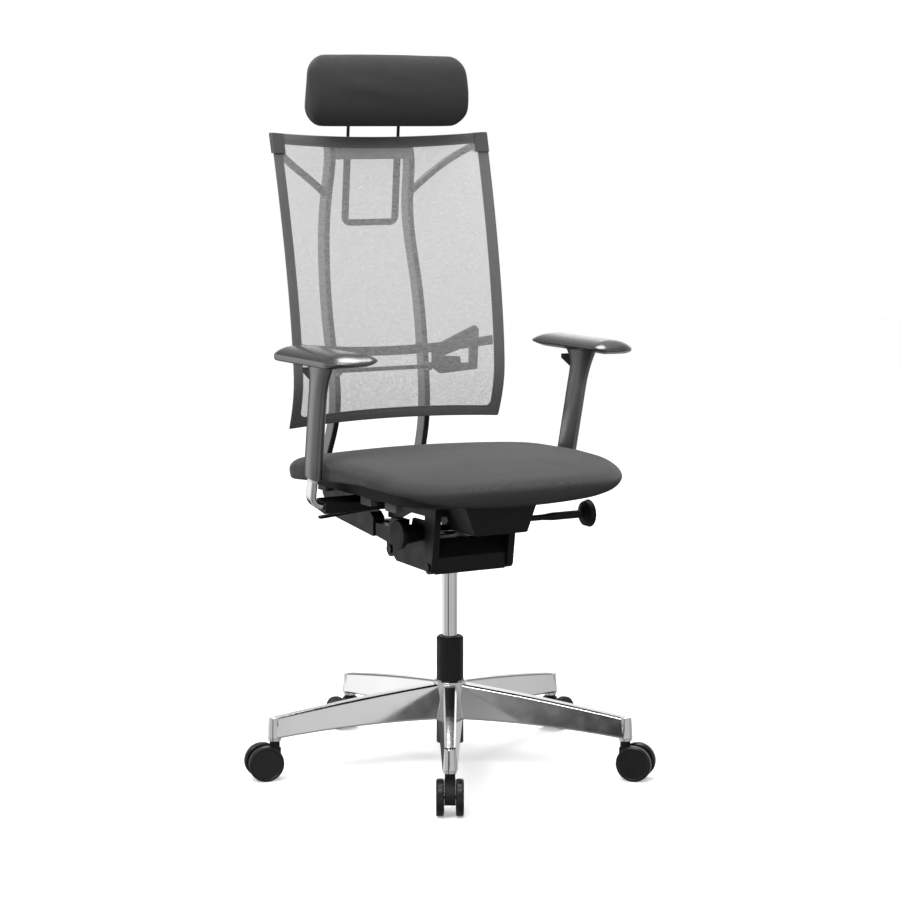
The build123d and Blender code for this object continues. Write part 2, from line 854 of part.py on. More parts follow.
lock_pin_x = -carrier_half_width - lock_hub_radius - 1
with BuildPart() as lock_lever:
    with BuildSketch(Plane.XZ.offset(-lock_lever_y)):
        with BuildLine():
            Polyline(
                (lock_pin_x, lock_lever_z + lock_lever_thickness / 2),
                (lock_pin_x - 45, lock_lever_z - lock_lever_thickness),
                (lock_lever_tip_x, lock_lever_tip_z + lock_lever_thickness / 2),
                (lock_lever_tip_x, lock_lever_tip_z - lock_lever_thickness / 2),
                (lock_pin_x - 45, lock_lever_z - 2 * lock_lever_thickness),
                (lock_pin_x, lock_lever_z - lock_lever_thickness),
                close=True,
            )
        make_face()
        with Locations((lock_pin_x, lock_lever_z)):
            Circle(lock_hub_radius - 1)
            Circle(lock_pin_radius + running_clearance, mode=Mode.SUBTRACT)
    extrude(amount=lock_lever_width / 2, both=True)
    fillet(lock_lever.edges().filter_by(Axis.Z).group_by(Axis.X)[0], radius=lock_lever_width / 3)
lock_lever.part.label = "lock_lever"
export_step(lock_lever.part, "parts/lock_lever.step")


# ================================================================== seat
def seat_outline(inset, height):
    """Plan of the seat at one height: a bowed front and four rounded corners."""
    half_width = seat_half_width - inset
    front = seat_front_y + inset
    rear = seat_rear_y - inset
    front_corner_y = front + seat_front_bow
    shrink = half_width / seat_half_width
    with BuildSketch(Plane.XY.offset(height)) as outline:
        with BuildLine():
            ThreePointArc((-half_width, front_corner_y), (0, front), (half_width, front_corner_y))
            Line((half_width, front_corner_y), (half_width - seat_rear_taper, rear))
            Line((half_width - seat_rear_taper, rear), (-half_width + seat_rear_taper, rear))
            Line((-half_width + seat_rear_taper, rear), (-half_width, front_corner_y))
        make_face()
        fillet(outline.vertices().group_by(Axis.Y)[0], radius=seat_front_corner * shrink)
        fillet(outline.vertices().group_by(Axis.Y)[-1], radius=seat_rear_corner * shrink)
    return outline.sketch


pan_bottom_z = carrier_top_z + face_clearance
button_half_length = button_length / 2 + face_clearance
button_half_height = button_height / 2 + face_clearance

with BuildPart() as above_rim:
    with BuildSketch(Plane.YZ):
        with BuildLine():
            Spline(*rim_line)
            Polyline(
                rim_line[-1],
                (rim_line[-1][0], cushion_top_z),
                (rim_line[0][0], cushion_top_z),
                rim_line[0],
            )
        make_face()
    extrude(amount=seat_half_width, both=True)

with BuildPart() as seat_pan:
    loft(
        sections=[
            seat_outline(pan_bottom_inset, pan_bottom_z),
            seat_outline(pan_shoulder_inset, pan_shoulder_z),
            seat_outline(pan_inset, pan_rim_limit_z),
        ],
        ruled=True,
    )
    loft(
        sections=[
            seat_outline(pan_bottom_inset + pan_wall, pan_bottom_z + pan_wall),
            seat_outline(pan_shoulder_inset + pan_wall, pan_shoulder_z + pan_wall),
            seat_outline(pan_inset + pan_wall, pan_rim_limit_z),
        ],
        ruled=True,
        mode=Mode.SUBTRACT,
    )
    add(above_rim.part, mode=Mode.SUBTRACT)
    for middle_y in (depth_button_y, tilt_button_y):
        with BuildSketch(Plane.YZ.offset(seat_button_x + button_depth + button_travel)):
            with Locations((middle_y, seat_button_z)):
                Rectangle(2 * button_half_length, 2 * button_half_height)
        extrude(amount=-pan_bottom_inset, mode=Mode.SUBTRACT)
seat_pan.part.label = "seat_pan"
export_step(seat_pan.part, "parts/seat_pan.step")

with BuildPart() as cushion_side:
    with BuildSketch(Plane.YZ):
        with BuildLine():
            Spline(*[(distance, height + face_clearance) for distance, height in rim_line])
            Line(
                (rim_line[-1][0], rim_line[-1][1] + face_clearance),
                cushion_line[-1],
            )
            Spline(*cushion_line)
            Line(cushion_line[0], (rim_line[0][0], rim_line[0][1] + face_clearance))
        make_face()
    extrude(amount=seat_half_width, both=True)

with BuildPart() as seat_cushion:
    loft(
        sections=[
            seat_outline(pan_inset, cushion_bottom_z),
            seat_outline(0, cushion_side_z),
            seat_outline(cushion_edge / 6, cushion_top_z - cushion_edge_drop),
            seat_outline(cushion_edge, cushion_top_z),
        ],
        ruled=True,
    )
    add(cushion_side.part, mode=Mode.INTERSECT)
seat_cushion.part.label = "seat_cushion"
export_step(seat_cushion.part, "parts/seat_cushion.step")


# ================================================================== back
def back_y(x, z):
    """Middle of the mesh: bowed forward at the lumbar height and hollow across."""
    if z >= lumbar_z:
        lean = back_lean * ((z - lumbar_z) / (back_top_z - lumbar_z)) ** back_lean_power
    else:
        lean = back_tuck * ((lumbar_z - z) / (lumbar_z - back_bottom_z)) ** back_tuck_power
    return lumbar_y + lean + back_sag * (1 - (x / back_half_width) ** 2)


back_station_count = 9
back_heights = [
    back_bottom_z + (back_top_z - back_bottom_z) * step / (back_station_count - 1)
    for step in range(back_station_count)
]
back_widths = [
    back_half_width * (2 * step / (back_station_count - 1) - 1) for step in range(back_station_count)
]


def back_strip(x, front, back):
    """Section of the back at one x, between two distances from the middle of the mesh."""
    front_points = [(back_y(x, z) - front, z) for z in back_heights]
    rear_points = [(back_y(x, z) + back, z) for z in back_heights]
    with BuildSketch(Plane.YZ.offset(x)) as strip:
        with BuildLine():
            Spline(*front_points)
            Line(front_points[-1], rear_points[-1])
            Spline(*rear_points)
            Line(front_points[0], rear_points[0])
        make_face()
    return strip.sketch


def back_sections(front, back):
    return [back_strip(x, front, back) for x in back_widths]


def back_outline(inset):
    """The back seen from the front, or the window a band's width inside it."""
    top_half = back_half_width - inset
    bottom_half = back_bottom_half_width - inset
    top_z = back_top_z - inset
    bottom_z = back_bottom_z + inset
    with BuildSketch(Plane.XZ) as outline:
        with BuildLine():
            ThreePointArc((-top_half, top_z), (0, top_z - back_top_dip), (top_half, top_z))
            Line((top_half, top_z), (bottom_half, bottom_z))
            ThreePointArc(
                (bottom_half, bottom_z), (0, bottom_z + back_bottom_rise), (-bottom_half, bottom_z)
            )
            Line((-bottom_half, bottom_z), (-top_half, top_z))
        make_face()
        fillet(outline.vertices(), radius=3 + inset * band_corner / band_width)
    return outline.sketch


block_depth = 2 * upright_stations[0][2]

with BuildPart() as outline_block:
    extrude(back_outline(0), amount=-block_depth)

with BuildPart() as window_block:
    extrude(back_outline(band_width), amount=-block_depth)

with BuildPart() as cap_zone:
    with BuildSketch(Plane.XZ):
        for side_name, side in sides:
            with Locations((side * (back_half_width - cap_width / 2), back_top_z - cap_height / 2)):
                Rectangle(cap_width, cap_height)
    extrude(amount=-block_depth)

with BuildPart() as back_frame:
    loft(sections=back_sections(band_front, band_back))
    add(outline_block.part, mode=Mode.INTERSECT)
    add(window_block.part, mode=Mode.SUBTRACT)
    add(cap_zone.part, mode=Mode.SUBTRACT)
back_frame.part.label = "back_frame"
export_step(back_frame.part, "parts/back_frame.step")

with BuildPart() as mesh_panel:
    loft(sections=back_sections(mesh_thickness / 2, mesh_thickness / 2))
    add(window_block.part, mode=Mode.INTERSECT)
    add(cap_zone.part, mode=Mode.SUBTRACT)
mesh_panel.part.label = "mesh_panel"
export_step(mesh_panel.part, "parts/mesh_panel.step")

with BuildPart() as corner_caps:
    loft(sections=back_sections(cap_front, cap_back))
    add(outline_block.part, mode=Mode.INTERSECT)
    add(cap_zone.part, mode=Mode.INTERSECT)
corner_caps.part.label = "corner_caps"
export_step(corner_caps.part, "parts/corner_caps.step")


def upright_at(z):
    """Distance out and back of an upright at one height."""
    lower, upper = upright_stations[0], upright_stations[-1]
    for first, second in zip(upright_stations, upright_stations[1:]):
        if first[0] <= z <= second[0]:
            lower, upper = first, second
    share = (z - lower[0]) / (upper[0] - lower[0])
    return lower[1] + share * (upper[1] - lower[1]), lower[2] + share * (upper[2] - lower[2])


def make_upright(side):
    """A blade-like upright with its branch to the corner and its lug for the lumbar rod."""
    sections = []
    for height, out, rearward in upright_stations:
        with BuildSketch(Plane.XY.offset(height)) as section:
            with Locations((side * out, rearward)):
                RectangleRounded(upright_width, upright_depth, upright_corner)
        sections.append(section.sketch)
    root_x, root_y = upright_at(branch_root_z)
    tip_x = back_half_width - 0.7 * cap_width
    branch_points = [
        (side * out, rearward, height)
        for out, rearward, height in (
            (root_x, root_y, branch_root_z),
            branch_middle,
            branch_knee,
            (tip_x, back_y(tip_x, branch_tip_z) + cap_back / 2, branch_tip_z),
        )
    ]
    lug_x, lug_y = upright_at(lumbar_rod_z)
    with BuildPart() as upright:
        loft(sections=sections)
        with BuildLine() as branch_line:
            Spline(*branch_points)
        with BuildSketch(Plane(origin=branch_points[0], z_dir=branch_line.line % 0)):
            Circle(branch_radius)
        sweep(path=branch_line.line)
        for neighbour in (corner_caps, back_frame, mesh_panel):
            add(neighbour.part, mode=Mode.SUBTRACT)
        with BuildSketch(Plane.YZ.offset(side * lug_x)):
            with Locations(((lug_y + lumbar_rod_y) / 2, lumbar_rod_z)):
                Rectangle(lug_y - lumbar_rod_y, 2 * lumbar_lug)
            with Locations((lumbar_rod_y, lumbar_rod_z)):
                Circle(lumbar_lug)
        extrude(amount=upright_width / 3, both=True)
        with BuildSketch(Plane.YZ):
            with Locations((lumbar_rod_y, lumbar_rod_z)):
                Circle(lumbar_rod_radius + running_clearance)
        extrude(amount=side * 2 * lug_x, mode=Mode.SUBTRACT)
    return upright


uprights = {}
for side_name, side in sides:
    upright = make_upright(side)
    uprights[side_name] = upright
    upright.part.label = f"{side_name}_upright"
    export_step(upright.part, f"parts/{side_name}_upright.step")

post_up = Vector(0, -math.sin(math.radians(post_lean)), math.cos(math.radians(post_lean)))
headrest_axle = Vector(0, headrest_axle_y, headrest_axle_z)
post_plane = Plane(origin=headrest_axle, x_dir=(1, 0, 0), z_dir=Vector(1, 0, 0).cross(post_up))
post_foot = headrest_axle - post_up * post_length

with BuildPart() as top_beam:
    with BuildSketch(Plane.XY.offset(beam_bottom_z)):
        with Locations((0, beam_front_y + beam_depth / 2)):
            Rectangle(2 * upright_stations[-1][1], beam_depth)
    extrude(amount=beam_height)
    fillet(top_beam.edges().filter_by(Axis.X), radius=2)
    for side_name, side in sides:
        add(uprights[side_name].part, mode=Mode.SUBTRACT)
    with BuildSketch(Plane(origin=post_foot, x_dir=(1, 0, 0), z_dir=post_up)):
        with Locations((-post_x, 0), (post_x, 0)):
            Rectangle(loop_bar_width + 2 * running_clearance, 2 * (post_radius + running_clearance))
    extrude(amount=2 * beam_height, both=True, mode=Mode.SUBTRACT)
top_beam.part.label = "top_beam"
export_step(top_beam.part, "parts/top_beam.step")

crossbar_half_length = back_bottom_half_width - band_width


def crossbar_section(x):
    """Section of the lumbar crossbar, which follows the back of the mesh."""
    middle_z = crossbar_z + crossbar_rise * (x / crossbar_half_length) ** 2
    bottom_z = middle_z - crossbar_height / 2
    top_z = middle_z + crossbar_height / 2
    front = mesh_thickness / 2 + face_clearance
    with BuildSketch(Plane.YZ.offset(x)) as section:
        with BuildLine():
            Polyline(
                (back_y(x, bottom_z) + front, bottom_z),
                (back_y(x, top_z) + front, top_z),
                (back_y(x, top_z) + front + crossbar_thickness, top_z),
                (back_y(x, bottom_z) + front + crossbar_thickness, bottom_z),
                close=True,
            )
        make_face()
    return section.sketch


with BuildPart() as lumbar_crossbar:
    loft(sections=[crossbar_section(crossbar_half_length * x / back_half_width) for x in back_widths])
    for side_name, side in sides:
        with BuildSketch(Plane.XZ.offset(-back_y(standoff_x, crossbar_z) - crossbar_thickness / 2)):
            with Locations((side * standoff_x, crossbar_z + 1)):
                Circle(standoff_radius)
        extrude(amount=-(upright_at(crossbar_z)[1] - back_y(standoff_x, crossbar_z)))
        add(uprights[side_name].part, mode=Mode.SUBTRACT)
lumbar_crossbar.part.label = "lumbar_crossbar"
export_step(lumbar_crossbar.part, "parts/lumbar_crossbar.step")

rod_overhang = 16
with BuildPart() as lumbar_rod:
    with BuildSketch(Plane.YZ.offset(-upright_at(lumbar_rod_z)[0] - lumbar_lug)):
        with Locations((lumbar_rod_y, lumbar_rod_z)):
            Circle(lumbar_rod_radius)
    extrude(amount=upright_at(lumbar_rod_z)[0] + lumbar_lug + lumbar_lever_x + rod_overhang)
lumbar_rod.part.label = "lumbar_rod"
export_step(lumbar_rod.part, "parts/lumbar_rod.step")

lever_left = lumbar_lever_x
lever_right = lumbar_lever_x + lumbar_lever_width
lever_bottom = lumbar_rod_z - lumbar_lever_drop
lever_top = lever_bottom + lumbar_lever_height

with BuildPart() as lumbar_lever:
    with BuildSketch(Plane.XZ.offset(-lumbar_rod_y)):
        with BuildLine():
            Polyline(
                (lever_left, lever_bottom + 12),
                (lever_left, lever_top - 38),
                (lever_right - 7, lever_top),
                (lever_right, lever_top - 7),
                (lever_right - 3, lever_bottom + 5),
                (lever_left + 17, lever_bottom),
                close=True,
            )
        make_face()
        with BuildLine():
            Polyline(
                (lever_left + 22, lever_top - 56),
                (lever_right - 18, lever_top - 37),
                (lever_right - 18, lever_bottom + 18),
                (lever_right - 40, lever_bottom + 18),
                (lever_right - 42, lever_bottom + 31),
                close=True,
            )
        make_face(mode=Mode.SUBTRACT)
    extrude(amount=lumbar_lever_thickness / 2, both=True)
    with BuildSketch(Plane.YZ.offset(lumbar_lever_x)):
        with Locations((lumbar_rod_y, lumbar_rod_z)):
            Circle(lumbar_rod_radius)
    extrude(amount=rod_overhang, mode=Mode.SUBTRACT)
lumbar_lever.part.label = "lumbar_lever"
export_step(lumbar_lever.part, "parts/lumbar_lever.step")

socket_x, socket_y = upright_at(upright_stations[0][0])
socket_top_x, socket_top_y = upright_at(socket_top_z)
socket_front_y = socket_y - upright_depth / 2 - socket_wall
socket_rear_y = socket_y + upright_depth / 2 + socket_wall
arm_top_z = carrier_arm_bottom_z + carrier_arm_height


def socket_section(x, y, z):
    """Section of the socket that holds an upright's foot."""
    with BuildSketch(Plane.XY.offset(z)) as section:
        with Locations((x, y)):
            RectangleRounded(
                upright_width + 2 * socket_wall, upright_depth + 2 * socket_wall, 2 * upright_corner
            )
    return section.sketch


lug_inner_x = tongue_half_width + plate_gap
shoulder_end_y = carrier_shoulder_y + carrier_shoulder_depth

with BuildPart() as back_carrier:
    for side_name, side in sides:
        with BuildSketch(Plane.YZ.offset(side * lug_inner_x)) as carrier_side:
            with BuildLine():
                Polyline(
                    (recline_pin_y - 10, recline_pin_z),
                    (recline_pin_y + 12, recline_pin_z),
                    (recline_pin_y + 16, carrier_arm_bottom_z),
                    (socket_front_y + 8, carrier_arm_bottom_z + 18),
                    (socket_rear_y, socket_bottom_z - 8),
                    (socket_rear_y - 3, socket_bottom_z + 26),
                    (socket_front_y, socket_bottom_z + 22),
                    (socket_front_y - 34, arm_top_z + 22),
                    (recline_pin_y + 22, arm_top_z),
                    (recline_pin_y - 4, arm_top_z - 20),
                    close=True,
                )
            make_face()
            fillet(carrier_side.vertices().sort_by(Axis.X)[-6:], radius=5)
            with Locations((recline_pin_y, recline_pin_z)):
                Circle(carrier_lug_radius)
        extrude(amount=side * (carrier_arm_outer_x - lug_inner_x))
        lug_bottom_z = recline_pin_z - carrier_lug_radius
        for start_x, end_x, start_y, end_y, bottom_z, top_z in (
            (carrier_lug_outer_x, carrier_arm_outer_x, 0, carrier_shoulder_y, lug_bottom_z, socket_top_z),
            (carrier_lug_outer_x, carrier_arm_outer_x, 0, shoulder_end_y, lug_bottom_z, carrier_arm_bottom_z),
            (lug_inner_x, carrier_arm_inner_x, 0, shoulder_end_y, carrier_inner_top_z, socket_top_z),
            (lug_inner_x, carrier_arm_inner_x, shoulder_end_y, socket_rear_y, lug_bottom_z, socket_top_z),
        ):
            with BuildSketch(Plane.XY.offset(bottom_z)):
                with Locations((side * (start_x + end_x) / 2, (start_y + end_y) / 2)):
                    Rectangle(end_x - start_x, end_y - start_y)
            extrude(amount=top_z - bottom_z, mode=Mode.SUBTRACT)
        loft(
            sections=[
                socket_section(side * socket_x, socket_y, socket_bottom_z),
                socket_section(side * socket_top_x, socket_top_y, socket_top_z),
            ]
        )
    with BuildSketch(Plane.XY.offset(carrier_web_bottom_z)):
        with Locations((0, socket_front_y - carrier_web_depth / 2 + 3)):
            Rectangle(2 * carrier_arm_inner_x, carrier_web_depth)
    extrude(amount=carrier_web_height)
    for side_name, side in sides:
        add(uprights[side_name].part, mode=Mode.SUBTRACT)
    with BuildSketch(Plane.YZ):
        with Locations((recline_pin_y, recline_pin_z)):
            Circle(recline_pin_radius + running_clearance)
    extrude(amount=carrier_arm_outer_x, both=True, mode=Mode.SUBTRACT)
back_carrier.part.label = "back_carrier"
export_step(back_carrier.part, "parts/back_carrier.step")


# ================================================================== headrest
with BuildPart() as headrest_loop:
    with BuildLine(post_plane) as rod_path:
        FilletPolyline((0, 0), (-post_x, 0), (-post_x, -post_length), radius=2 * post_radius)
    with BuildSketch(Plane(origin=headrest_axle, z_dir=(-1, 0, 0))):
        Circle(post_radius)
    sweep(path=rod_path.line)
    mirror(about=Plane.YZ)
    with BuildSketch(post_plane):
        with Locations((0, -(post_length + loop_length) / 2)):
            Rectangle(2 * post_x + loop_bar_width, loop_length - post_length)
            Rectangle(2 * post_x - loop_bar_width, loop_length - post_length, mode=Mode.SUBTRACT)
        with Locations((0, -loop_length + loop_bar_width / 2)):
            Rectangle(2 * post_x, loop_bar_width)
    extrude(amount=post_radius, both=True)
    across_bar = headrest_loop.edges().filter_by(Axis(headrest_axle, post_plane.z_dir))
    fillet(across_bar.group_by(Axis.Z)[0], radius=loop_corner)
headrest_loop.part.label = "headrest_loop"
export_step(headrest_loop.part, "parts/headrest_loop.step")

shell_rear_y = headrest_axle_y - shell_gap - shell_thickness / 2
with BuildPart() as headrest_shell:
    with BuildSketch(Plane.XZ.offset(-shell_rear_y)):
        with Locations((0, headrest_axle_z)):
            RectangleRounded(2 * shell_half_width, shell_height, 18)
    extrude(amount=shell_thickness)
    with BuildSketch(Plane.YZ):
        with Locations((headrest_axle_y, headrest_axle_z)):
            Circle(clip_radius)
        with Locations(((headrest_axle_y + shell_rear_y) / 2 - 1, headrest_axle_z)):
            Rectangle(headrest_axle_y - shell_rear_y + 2, 2 * clip_radius)
    extrude(amount=clip_half_width, both=True)
    with BuildSketch(Plane.YZ):
        with Locations((headrest_axle_y, headrest_axle_z)):
            Circle(post_radius + running_clearance)
    extrude(amount=clip_half_width, both=True, mode=Mode.SUBTRACT)
headrest_shell.part.label = "headrest_shell"
export_step(headrest_shell.part, "parts/headrest_shell.step")

pad_rear_y = shell_rear_y - shell_thickness - face_clearance
pad_end_y = pad_rear_y - headrest_wrap / 3


def headrest_section(height, inset):
    """Plan of the headrest at one height: its ends wrap forward around the head."""
    half_width = headrest_half_width - inset
    front = headrest_front_y + inset / 2
    with BuildSketch(Plane.XY.offset(height)) as section:
        with BuildLine():
            ThreePointArc((-half_width, front), (0, front + headrest_wrap), (half_width, front))
            Line((half_width, front), (half_width, pad_end_y - inset / 2))
            ThreePointArc(
                (half_width, pad_end_y - inset / 2),
                (0, pad_rear_y - inset / 2),
                (-half_width, pad_end_y - inset / 2),
            )
            Line((-half_width, pad_end_y - inset / 2), (-half_width, front))
        make_face()
        fillet(section.vertices(), radius=12)
    return section.sketch


with BuildPart() as headrest_pad:
    loft(
        sections=[
            headrest_section(headrest_bottom_z, headrest_edge / 2),
            headrest_section(headrest_bottom_z + headrest_edge, 0),
            headrest_section(headrest_top_z - headrest_edge, 0),
            headrest_section(headrest_top_z, headrest_edge / 2),
        ],
        ruled=True,
    )
headrest_pad.part.label = "headrest_pad"
export_step(headrest_pad.part, "parts/headrest_pad.step")


# ================================================================== armrests
def sleeve_section(plane, half_depth):
    with BuildSketch(plane) as section:
        Ellipse(sleeve_half_width, half_depth)
    return section.sketch


def arm_planes(side):
    """Plane across an armrest's leg at its foot, and the plane in which its bracket is bent."""
    foot = Vector(side * post_foot_x, post_foot_y, post_foot_z)
    up = Vector(
        side * math.sin(math.radians(lean_out)),
        -math.sin(math.radians(lean_forward)),
        math.cos(math.radians(lean_forward)),
    ).normalized()
    leg_plane = Plane(origin=foot, x_dir=(side, 0, 0), z_dir=up)
    bend_plane = Plane(origin=foot, x_dir=(side, 0, 0), z_dir=Vector(side, 0, 0).cross(up))
    return leg_plane, bend_plane


def make_armrest(side_name, side):
    """Bracket, sleeve, pad and height button of one armrest."""
    leg_plane, bend_plane = arm_planes(side)
    reach = post_foot_x - carrier_half_width - face_clearance

    with BuildPart() as bracket:
        with BuildSketch(bend_plane) as bend:
            with BuildLine():
                Polyline(
                    (-bracket_thickness / 2, 0),
                    (bracket_thickness / 2, 0),
                    (bracket_thickness / 2, -bracket_drop),
                    (-reach, -bracket_drop),
                    (-reach, bracket_thickness - bracket_drop),
                    (-bracket_thickness / 2, bracket_thickness - bracket_drop),
                    close=True,
                )
            make_face()
            outer_corner = bend.vertices().group_by(Axis.Y)[0].sort_by(Axis.X)[-1]
            fillet(outer_corner, radius=bracket_bend)
            inner_corner = bend.vertices().group_by(Axis.Y)[1].sort_by(Axis.X)[-1]
            fillet(inner_corner, radius=bracket_bend - bracket_thickness)
        extrude(amount=bracket_width / 2, both=True)
        fillet(bracket.faces().filter_by(bend_plane).edges(), radius=bracket_edge)
        with BuildSketch(leg_plane.offset(-bracket_root)):
            Ellipse(inner_half_width, inner_half_depth)
        extrude(amount=inner_length + bracket_root)
    bracket.part.label = f"{side_name}_arm_bracket"
    export_step(bracket.part, f"parts/{side_name}_arm_bracket.step")

    neck_top = Plane(origin=(side * neck_x, neck_y, pad_bottom_z), x_dir=(side, 0, 0), z_dir=(0, 0, 1))
    with BuildPart() as sleeve:
        loft(
            sections=[
                sleeve_section(leg_plane, sleeve_half_depth),
                sleeve_section(leg_plane.offset(sleeve_length), sleeve_half_depth),
                sleeve_section(neck_top, neck_half_depth),
            ],
            ruled=True,
        )
        with BuildSketch(leg_plane):
            Ellipse(inner_half_width + inner_clearance, inner_half_depth + inner_clearance)
        extrude(amount=inner_length + side_clearance, mode=Mode.SUBTRACT)
        slot_bottom_z = arm_button_bottom_z - face_clearance
        slot_top_z = arm_button_top_z + button_travel + face_clearance
        with BuildSketch(Plane.XZ.offset(-arm_button_front_y + face_clearance)):
            with Locations((side * neck_x, (slot_bottom_z + slot_top_z) / 2)):
                Rectangle(2 * (arm_button_half_width + face_clearance), slot_top_z - slot_bottom_z)
        extrude(amount=-2 * neck_half_depth, mode=Mode.SUBTRACT)
    sleeve.part.label = f"{side_name}_arm_sleeve"
    export_step(sleeve.part, f"parts/{side_name}_arm_sleeve.step")

    with BuildPart() as button:
        with BuildSketch(Plane.YZ.offset(side * neck_x)):
            with BuildLine():
                Polyline(
                    (arm_button_front_y, arm_button_bottom_z),
                    (arm_button_rear_y, arm_button_lip_z),
                    (arm_button_rear_y, arm_button_top_z),
                    (arm_button_front_y, arm_button_top_z),
                    close=True,
                )
            make_face()
        extrude(amount=arm_button_half_width, both=True)
        fillet(button.edges().filter_by(Axis.X).group_by(Axis.Y)[-1], radius=2)
    button.part.label = f"{side_name}_arm_button"
    export_step(button.part, f"parts/{side_name}_arm_button.step")

    with BuildPart() as pad:
        with BuildSketch(Plane(origin=(side * pad_x, pad_y, pad_bottom_z), z_dir=(0, 0, 1))):
            RectangleRounded(pad_width, pad_length, pad_corner)
        extrude(amount=pad_height)
        pad_ends = pad.faces().filter_by(Axis.Z).sort_by(Axis.Z)
        chamfer(pad_ends[-1].edges(), length=pad_top_run, length2=pad_top_fall, reference=pad_ends[-1])
        chamfer(pad_ends[0].edges(), length=pad_bottom_run, length2=pad_bottom_rise, reference=pad_ends[0])
    pad.part.label = f"{side_name}_arm_pad"
    export_step(pad.part, f"parts/{side_name}_arm_pad.step")


for side_name, side in sides:
    make_armrest(side_name, side)

cover_length = arm_cover_end_x - arm_cover_start_x
cover_middle_x = (arm_cover_start_x + arm_cover_end_x) / 2 - post_foot_x
cover_height = bracket_thickness + arm_cover_above + arm_cover_below
run_middle = bracket_thickness / 2 - bracket_drop

with BuildPart() as arm_covers:
    for side_name, side in sides:
        with BuildSketch(arm_planes(side)[1]):
            with Locations((cover_middle_x, run_middle + (arm_cover_above - arm_cover_below) / 2)):
                Rectangle(cover_length, cover_height)
        extrude(amount=arm_cover_depth / 2, both=True)
    fillet(arm_covers.edges().filter_by(Axis.X), radius=arm_cover_edge)
    for side_name, side in sides:
        with BuildSketch(arm_planes(side)[1]):
            with Locations((cover_middle_x, run_middle)):
                Rectangle(cover_length, bracket_thickness + 2 * face_clearance)
        extrude(amount=bracket_width / 2 + face_clearance, both=True, mode=Mode.SUBTRACT)
arm_covers.part.label = "arm_covers"
export_step(arm_covers.part, "parts/arm_covers.step")


# ================================================================== seat buttons
def make_seat_button(name, middle_y):
    """A push button under the sitter's right edge of the seat, pressed inwards."""
    face = Plane(origin=(seat_button_x, middle_y, seat_button_z), x_dir=(0, 1, 0), z_dir=(1, 0, 0))
    with BuildPart() as button:
        with BuildSketch(face):
            RectangleRounded(button_length, button_height, 3)
        extrude(amount=button_depth)
    button.part.label = name
    export_step(button.part, f"parts/{name}.step")


make_seat_button("depth_button", depth_button_y)
make_seat_button("tilt_button", tilt_button_y)
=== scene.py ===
import json
import math

import bmesh
import bpy
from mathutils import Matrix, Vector


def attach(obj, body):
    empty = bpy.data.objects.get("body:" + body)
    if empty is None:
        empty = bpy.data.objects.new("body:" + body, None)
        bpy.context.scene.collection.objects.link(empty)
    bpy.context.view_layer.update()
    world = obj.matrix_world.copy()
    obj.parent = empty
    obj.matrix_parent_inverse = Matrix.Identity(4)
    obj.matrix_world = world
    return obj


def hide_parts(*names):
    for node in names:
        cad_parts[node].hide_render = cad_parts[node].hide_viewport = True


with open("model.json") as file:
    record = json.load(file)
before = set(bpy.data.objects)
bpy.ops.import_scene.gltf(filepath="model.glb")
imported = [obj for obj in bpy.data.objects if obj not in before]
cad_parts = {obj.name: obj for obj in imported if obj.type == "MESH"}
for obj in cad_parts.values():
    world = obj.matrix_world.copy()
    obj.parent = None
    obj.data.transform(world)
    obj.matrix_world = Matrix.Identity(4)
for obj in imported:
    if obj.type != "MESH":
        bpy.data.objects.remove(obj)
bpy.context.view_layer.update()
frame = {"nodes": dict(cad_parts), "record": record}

# A swivel office chair with a mesh back. Lengths are in metres, angles in degrees, and the
# chair faces -Y with +Z up. The dressed pieces lie where the CAD nodes that they replace lie.

MM = 0.001
nodes = frame["nodes"]
record = frame["record"]
sides = (("left", 1), ("right", -1))


# ------------------------------------------------------------------ camera, light and floor
camera_place = (-2.3156, -4.0107, 1.1922)
camera_azimuth = -30
camera_dip = 7.415
camera_lens = 102
camera_sensor = 36

ambient_level = 0.32
ambient_slope = 0.46
# place, target, side of the square and power in watts
lamps = {
    "key": ((-2.6, -1.6, 3.2), (0, 0, 0.6), 1.8, 90),
    "top": ((0.3, 0.4, 3.6), (0, 0, 0), 2.0, 95),
    "front": ((-0.9, -1.3, 2.5), (0, 0.25, 1.3), 0.9, 12),
}
floor_size = 16
floor_roughness = 0.9
floor_shade = 0.98
floor_bounce = 0.09
floor_glow = 0.36

# The studio that shiny pieces reflect. Its level rises with the upward share of a direction,
# from low to high over a range, and falls again overhead.
mirror_levels = (0.35, 1.0)
mirror_rise = (-0.5, 0.3)
mirror_least = 0.06
overhead_dim = 0.3
overhead_fade = (0.2, 0.34)
# bright and dark strips: azimuth and reach in degrees, strength, least upward share
mirror_lobes = (
    (214, 9, -0.75, -1.0),
    (326, 17, -0.25, -1.0),
    (82, 22, -0.75, -1.0),
    (60, 40, 1.0, 0.0),
    (123, 24, 0.6, -1.0),
)
lobe_fade = 0.06


def add_object(name, data):
    made = bpy.data.objects.new(name, data)
    bpy.context.scene.collection.objects.link(made)
    return made


def add_camera():
    data = bpy.data.cameras.new("camera")
    data.lens = camera_lens
    data.sensor_width = camera_sensor
    camera = add_object("camera", data)
    camera.location = camera_place
    camera.rotation_euler = (math.radians(90 - camera_dip), 0, math.radians(camera_azimuth))
    bpy.context.scene.camera = camera


def feed(tree, node, inputs):
    """Gives a node its inputs, each a value or another node's socket."""
    for socket, value in inputs.items():
        if isinstance(value, bpy.types.NodeSocket):
            tree.links.new(value, node.inputs[socket])
        else:
            node.inputs[socket].default_value = value


def add_node(tree, kind, inputs=None, **settings):
    """A new shader node with its settings and its inputs."""
    made = tree.nodes.new(kind)
    for key, value in settings.items():
        setattr(made, key, value)
    feed(tree, made, inputs or {})
    return made


